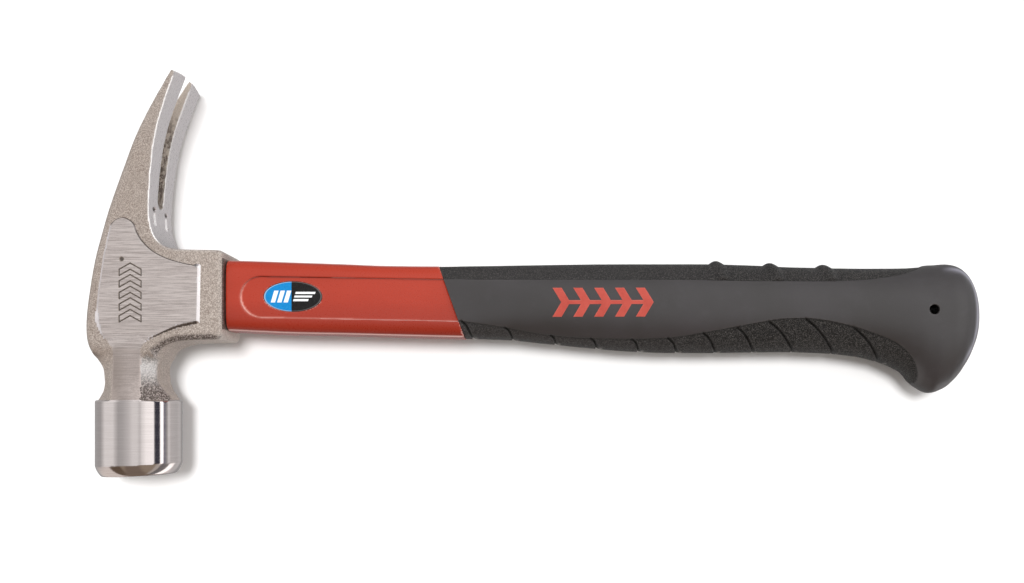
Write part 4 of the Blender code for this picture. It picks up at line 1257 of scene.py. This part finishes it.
def label_material():
    """Printed film: two halves, a pale rim, and plain bars; no lettering."""
    s = Shader("label_film_look")
    cx, cy = ((LABEL_X + ORIGIN[0]) * MM, (LABEL_Y + ORIGIN[1]) * MM)
    p = s.node("ShaderNodeVectorMath", {0: s.position(), 1: (cx, cy, 0.0)},
               operation="SUBTRACT").outputs[0]
    axis = s.axes(s.scaled(p, (1000, 1000, 1000)))
    x, y = axis[0], axis[1]

    def box(x0, x1, y0, y1, lean=0.0, soft=0.05):
        """1 inside a bar whose sides lean by lean per millimetre of height."""
        u = s.math("MULTIPLY_ADD", y, -lean, x)
        inside = s.math("MULTIPLY", s.ramp(u, x0 - soft, x0 + soft),
                        s.ramp(u, x1 - soft, x1 + soft, 1.0, 0.0))
        inside = s.math("MULTIPLY", inside, s.ramp(y, y0 - soft, y0 + soft))
        return s.math("MULTIPLY", inside, s.ramp(y, y1 - soft, y1 + soft, 1.0, 0.0))

    def ring(scale):
        u = s.math("POWER", s.math("DIVIDE", s.math("ABSOLUTE", x), LABEL_A * scale), 2.0)
        v = s.math("POWER", s.math("DIVIDE", s.math("ABSOLUTE", y), LABEL_B * scale), 2.0)
        return s.math("SQRT", s.math("ADD", u, v))

    half = s.ramp(x, -0.56, -0.46)
    q = s.scaled(s.position(), (1000, 1000, 1000))
    ink = s.noise(q, 1.2, 3.0, 0.6)
    blue = s.mix(s.ramp(ink, 0.3, 0.7), (0.002, 0.195, 0.50), (0.004, 0.225, 0.56))
    black = s.mix(s.ramp(ink, 0.3, 0.7), (0.004, 0.0035, 0.0035), (0.010, 0.009, 0.009))
    colour = s.mix(half, blue, black)
    white = (0.86, 0.87, 0.88)
    shapes = None
    for bar in ((-7.6, -6.0, -2.2, 2.2, 0.30), (-5.2, -3.6, -2.2, 2.2, 0.30),
                (-2.8, -1.2, -2.2, 2.2, 0.30),
                (0.6, 8.0, 0.95, 1.75, 0.30), (0.6, 7.2, -0.35, 0.35, 0.30),
                (0.6, 6.2, -1.75, -0.95, 0.30)):
        mask = box(*bar)
        shapes = mask if shapes is None else s.math("MAXIMUM", shapes, mask)
    colour = s.mix(shapes, colour, white)
    rim = s.ramp(ring(1.0), 0.945, 0.960)
    colour = s.mix(rim, colour, s.mix(half, (0.25, 0.42, 0.62), (0.10, 0.09, 0.09)))
    s.link(colour, s.bsdf.inputs["Base Color"])
    s.link(s.ramp(s.noise(q, 2.5, 2.0, 0.5), 0.3, 0.7, 0.22, 0.32), s.bsdf.inputs["Roughness"])
    s.bsdf.inputs["Specular IOR Level"].default_value = 0.30
    s.link(s.bump(s.noise(q, 0.7, 2.0, 0.5), 0.00004, 0.5), s.bsdf.inputs["Normal"])
    return s.material


def epoxy_material():
    s = Shader("epoxy_look")
    p = s.scaled(s.position(), (1000, 1000, 1000))
    cloud = s.noise(p, 0.5, 4.0, 0.6)
    pits = s.voronoi(p, 0.7)
    colour = s.mix(s.ramp(cloud, 0.3, 0.7), (0.012, 0.010, 0.009), (0.040, 0.033, 0.029))
    s.link(colour, s.bsdf.inputs["Base Color"])
    s.link(s.ramp(cloud, 0.3, 0.7, 0.22, 0.42), s.bsdf.inputs["Roughness"])
    height = s.math("MULTIPLY_ADD", s.ramp(pits, 0.05, 0.25), 0.6, cloud)
    s.link(s.bump(height, 0.00020, 0.7), s.bsdf.inputs["Normal"])
    return s.material


def fibre_material():
    """Sawn glass-fibre rod: strand ends on the face, strands along the sides."""
    s = Shader("fibreglass_look")
    p = s.position()
    strands = s.noise(s.scaled(p, (60, 3000, 3000)), 1.0, 3.0, 0.7)
    ends = s.voronoi(s.scaled(p, (120, 1000, 1000)), 2.6)
    saw = s.noise(s.scaled(p, (300, 350, 3600), rotation=(0.4, 0, 0)), 1.0, 3.0, 0.6)
    colour = s.mix(s.ramp(strands, 0.3, 0.7), (0.50, 0.38, 0.16), (0.74, 0.62, 0.34))
    colour = s.mix(s.ramp(ends, 0.0, 0.5, 0.55, 0.0), colour, (0.82, 0.75, 0.52))
    colour = s.mix(s.ramp(saw, 0.45, 0.75, 0.0, 0.4), colour, (0.36, 0.27, 0.13))
    s.link(colour, s.bsdf.inputs["Base Color"])
    s.link(s.ramp(strands, 0.3, 0.7, 0.38, 0.58), s.bsdf.inputs["Roughness"])
    s.link(s.bump(s.math("ADD", strands, saw), 0.00015, 0.7), s.bsdf.inputs["Normal"])
    return s.material


def floor_material():
    s = Shader("studio_floor_look")
    p = s.position()
    tone = s.noise(p, 3.0, 3.0, 0.5)
    colour = s.mix(s.ramp(tone, 0.3, 0.7), (0.935, 0.935, 0.937), (0.95, 0.95, 0.952))
    s.link(colour, s.bsdf.inputs["Base Color"])
    s.bsdf.inputs["Roughness"].default_value = 0.9
    s.bsdf.inputs["Specular IOR Level"].default_value = 0.1
    return s.material


def wall_material():
    s = Shader("studio_wall_look")
    tone = s.noise(s.position(), 0.6, 3.0, 0.5)
    colour = s.mix(s.ramp(tone, 0.3, 0.7), (0.90, 0.90, 0.903), (0.93, 0.93, 0.932))
    s.link(colour, s.bsdf.inputs["Base Color"])
    s.link(colour, s.bsdf.inputs["Emission Color"])
    s.bsdf.inputs["Emission Strength"].default_value = 0.45
    s.bsdf.inputs["Roughness"].default_value = 0.9
    s.bsdf.inputs["Specular IOR Level"].default_value = 0.1
    return s.material


# ------------------------------------------------------------------ assembly


def dress(obj, material, slot, *nodes):
    obj.data.materials.clear()
    obj.data.materials.append(material)
    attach(obj, "root")
    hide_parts(*nodes)


steel, red, rubber = steel_material(), red_material(), rubber_material()
inlay_look, label_look = inlay_material(), label_material()
dress(make_head(), steel, "forged_steel", "head")
dress(make_jacket(), red, "red_polymer", "handle_jacket")
dress(make_grip(), rubber, "black_rubber", "grip")
dress(make_bond(), epoxy_material(), "epoxy", "epoxy_bond")
dress(make_core(), fibre_material(), "fibreglass", "core_rod")
for word, side in (("front", 1), ("back", -1)):
    dress(make_inlay("grip_chevrons_" + word, side), inlay_look, "red_inlay",
          "grip_inlay_" + word)
    dress(make_label("oval_label_" + word, side), label_look, "label_film", "label_" + word)

# ------------------------------------------------------------------ floor, light and camera

floor_mesh = bpy.data.meshes.new("studio_floor")
floor_bm = bmesh.new()
bmesh.ops.create_grid(floor_bm, x_segments=8, y_segments=8, size=4.0)
floor_bm.to_mesh(floor_mesh)
floor_bm.free()
floor = bpy.data.objects.new("studio_floor", floor_mesh)
floor.location = (0.0, 0.0, -0.0006)
bpy.context.scene.collection.objects.link(floor)
floor_mesh.materials.append(floor_material())
floor.visible_glossy = False

# A pale wall far behind, for the low viewpoints; it neither lights nor mirrors in the hammer
wall_mesh = bpy.data.meshes.new("studio_wall")
wall_points = [(3.9 * math.cos(t), 3.9 * math.sin(t), h) for h in (-0.0006, 3.2)
               for t in np.linspace(0, 2 * math.pi, 96, endpoint=False)]
wall_faces = [(k, 96 + k, 96 + (k + 1) % 96, (k + 1) % 96) for k in range(96)]
wall_mesh.from_pydata(wall_points, [], wall_faces)
studio_wall = bpy.data.objects.new("studio_wall", wall_mesh)
bpy.context.scene.collection.objects.link(studio_wall)
wall_mesh.materials.append(wall_material())
studio_wall.visible_glossy = studio_wall.visible_diffuse = studio_wall.visible_shadow = False


def at(x, y, z):
    """A drawing-frame point in the row frame, in metres."""
    return Vector((np.array((x, y, z)) + ORIGIN) * MM)


def area_light(name, place, target, size, power, colour=(1, 1, 1), glossy=True):
    data = bpy.data.lights.new(name, "AREA")
    data.shape = "RECTANGLE"
    data.size, data.size_y = size
    data.energy = power
    data.color = colour
    obj = bpy.data.objects.new(name, data)
    obj.location = place
    obj.rotation_euler = (Vector(target) - Vector(place)).to_track_quat("-Z", "Y").to_euler()
    obj.visible_camera = False
    obj.visible_glossy = glossy
    bpy.context.scene.collection.objects.link(obj)
    return obj


sun_data = bpy.data.lights.new("soft_key", "SUN")
sun_data.energy = 2.35
sun_data.angle = math.radians(14)
sun = bpy.data.objects.new("soft_key", sun_data)
sun.rotation_euler = Vector((0.055, -0.125, -1.0)).to_track_quat("-Z", "Y").to_euler()
sun.visible_glossy = False
bpy.context.scene.collection.objects.link(sun)

# The studio round the hammer: a pale dome with a soft box and a dark gap on the right
world = bpy.data.worlds.new("studio")
bpy.context.scene.world = world
world.use_nodes = True
tree = world.node_tree
tree.nodes.clear()
out = tree.nodes.new("ShaderNodeOutputWorld")
background = tree.nodes.new("ShaderNodeBackground")
tree.links.new(background.outputs[0], out.inputs[0])
coord = tree.nodes.new("ShaderNodeTexCoord")
split = tree.nodes.new("ShaderNodeSeparateXYZ")
tree.links.new(coord.outputs["Generated"], split.inputs[0])
turn = tree.nodes.new("ShaderNodeMath")
turn.operation = "ARCTAN2"
tree.links.new(split.outputs[0], turn.inputs[0])
tree.links.new(split.outputs[2], turn.inputs[1])
share = tree.nodes.new("ShaderNodeMapRange")
share.inputs["From Min"].default_value = -math.pi
share.inputs["From Max"].default_value = math.pi
tree.links.new(turn.outputs[0], share.inputs["Value"])
bands = tree.nodes.new("ShaderNodeValToRGB")
tree.links.new(share.outputs[0], bands.inputs[0])
tree.links.new(bands.outputs[0], background.inputs[0])
background.inputs[1].default_value = 1.0
BANDS = (  # degrees from straight up, towards +X positive: brightness
    (-180, 0.36), (-166, 0.38), (-150, 0.42), (-100, 0.45), (-90, 0.66),
    (-81, 0.92), (-54, 0.92), (-45, 0.68), (-37, 0.48), (-25, 0.52), (-9, 0.68),
    (2, 0.88), (14, 0.88), (20, 0.70), (27, 0.98), (36, 1.24), (57, 1.32), (60, 0.05),
    (75, 0.05), (77, 1.95), (84, 1.95), (86, 0.20), (96, 0.35), (103, 0.85), (110, 0.62),
    (136, 0.56), (150, 0.62), (159, 0.58), (167, 0.38), (180, 0.36),
)
ramp = bands.color_ramp
ramp.interpolation = "LINEAR"
while len(ramp.elements) > 1:
    ramp.elements.remove(ramp.elements[-1])
for k, (degrees, value) in enumerate(BANDS):
    place = (degrees + 180) / 360
    stop = ramp.elements[0] if k == 0 else ramp.elements.new(place)
    stop.position = place
    warm = 1.0 if value > 0.3 else 1.35
    stop.color = (value / 2, value / 2, value / 2 * warm, 1.0)


def world_math(operation, a, b):
    node = tree.nodes.new("ShaderNodeMath")
    node.operation = operation
    for k, value in enumerate((a, b)):
        if isinstance(value, bpy.types.NodeSocket):
            tree.links.new(value, node.inputs[k])
        else:
            node.inputs[k].default_value = value
    return node.outputs[0]


def world_range(value, low, high, out_low, out_high):
    node = tree.nodes.new("ShaderNodeMapRange")
    node.interpolation_type = "SMOOTHSTEP"
    for key, v in (("From Min", low), ("From Max", high), ("To Min", out_low),
                   ("To Max", out_high)):
        node.inputs[key].default_value = v
    tree.links.new(value, node.inputs["Value"])
    return node.outputs["Result"]


# darker towards both ends of Y near the horizon, as in a room with the light overhead
low_side = world_range(split.outputs[1], -0.56, -0.08, 0.0, 1.0)
below = world_range(split.outputs[2], -0.72, -0.58, 1.0, 0.0)
low_side = world_math("MAXIMUM", low_side, below)
high_side = world_range(split.outputs[1], 0.45, 0.90, 1.0, 0.50)
overhead = world_range(split.outputs[1], 0.02, 0.36, 2.0, 2.3)
strength = world_math("MULTIPLY", high_side, overhead)
tree.links.new(strength, background.inputs[1])
tint = tree.nodes.new("ShaderNodeMix")
tint.data_type = "RGBA"
tree.links.new(low_side, tint.inputs[0])
wall = tree.nodes.new("ShaderNodeValToRGB")
tree.links.new(share.outputs[0], wall.inputs[0])
WALL = (  # degrees as above: colour of the room beyond the striking face
    (-180, (0.80, 0.74, 0.70)), (-74, (0.80, 0.74, 0.70)), (-66, (0.15, 0.11, 0.08)),
    (-38, (0.15, 0.11, 0.08)), (-29, (0.33, 0.27, 0.21)), (66, (0.33, 0.27, 0.21)),
    (73, (0.52, 0.48, 0.44)), (82, (0.52, 0.48, 0.44)), (87, (0.19, 0.18, 0.18)),
    (110, (0.24, 0.23, 0.23)), (116, (1.70, 1.68, 1.66)), (131, (1.70, 1.68, 1.66)),
    (136, (0.78, 0.74, 0.73)), (180, (0.78, 0.74, 0.73)),
)
while len(wall.color_ramp.elements) > 1:
    wall.color_ramp.elements.remove(wall.color_ramp.elements[-1])
for k, (degrees, value) in enumerate(WALL):
    place = (degrees + 180) / 360
    stop = wall.color_ramp.elements[0] if k == 0 else wall.color_ramp.elements.new(place)
    stop.position = place
    stop.color = (value[0] / 2, value[1] / 2, value[2] / 2, 1.0)
sideways = world_range(world_math("ABSOLUTE", split.outputs[0], 0.0), 0.20, 0.42, 0.0, 1.0)
room = tree.nodes.new("ShaderNodeMix")
room.data_type = "RGBA"
tree.links.new(sideways, room.inputs[0])
room.inputs[6].default_value = (0.11, 0.085, 0.068, 1.0)
tree.links.new(wall.outputs[0], room.inputs[7])
tree.links.new(room.outputs[2], tint.inputs[6])
tree.links.new(bands.outputs[0], tint.inputs[7])
tree.links.new(tint.outputs[2], background.inputs[0])

# Camera: straight down from over the handle; the picture's middle lies off its foot
camera_data = bpy.data.cameras.new("camera")
camera_data.sensor_width = 36.0
camera_data.lens = 38.06
camera_data.shift_x = -5.0 / 1024
camera_data.shift_y = 113.5 / 1024
camera_data.clip_start = 0.01
camera_data.clip_end = 20.0
camera = bpy.data.objects.new("camera", camera_data)
camera.location = at(144.8, -41.4, 415.0)
camera.rotation_euler = (0.0, 0.0, 0.0)
bpy.context.scene.collection.objects.link(camera)
bpy.context.scene.camera = camera
bpy.context.scene.view_settings.view_transform = "Standard"
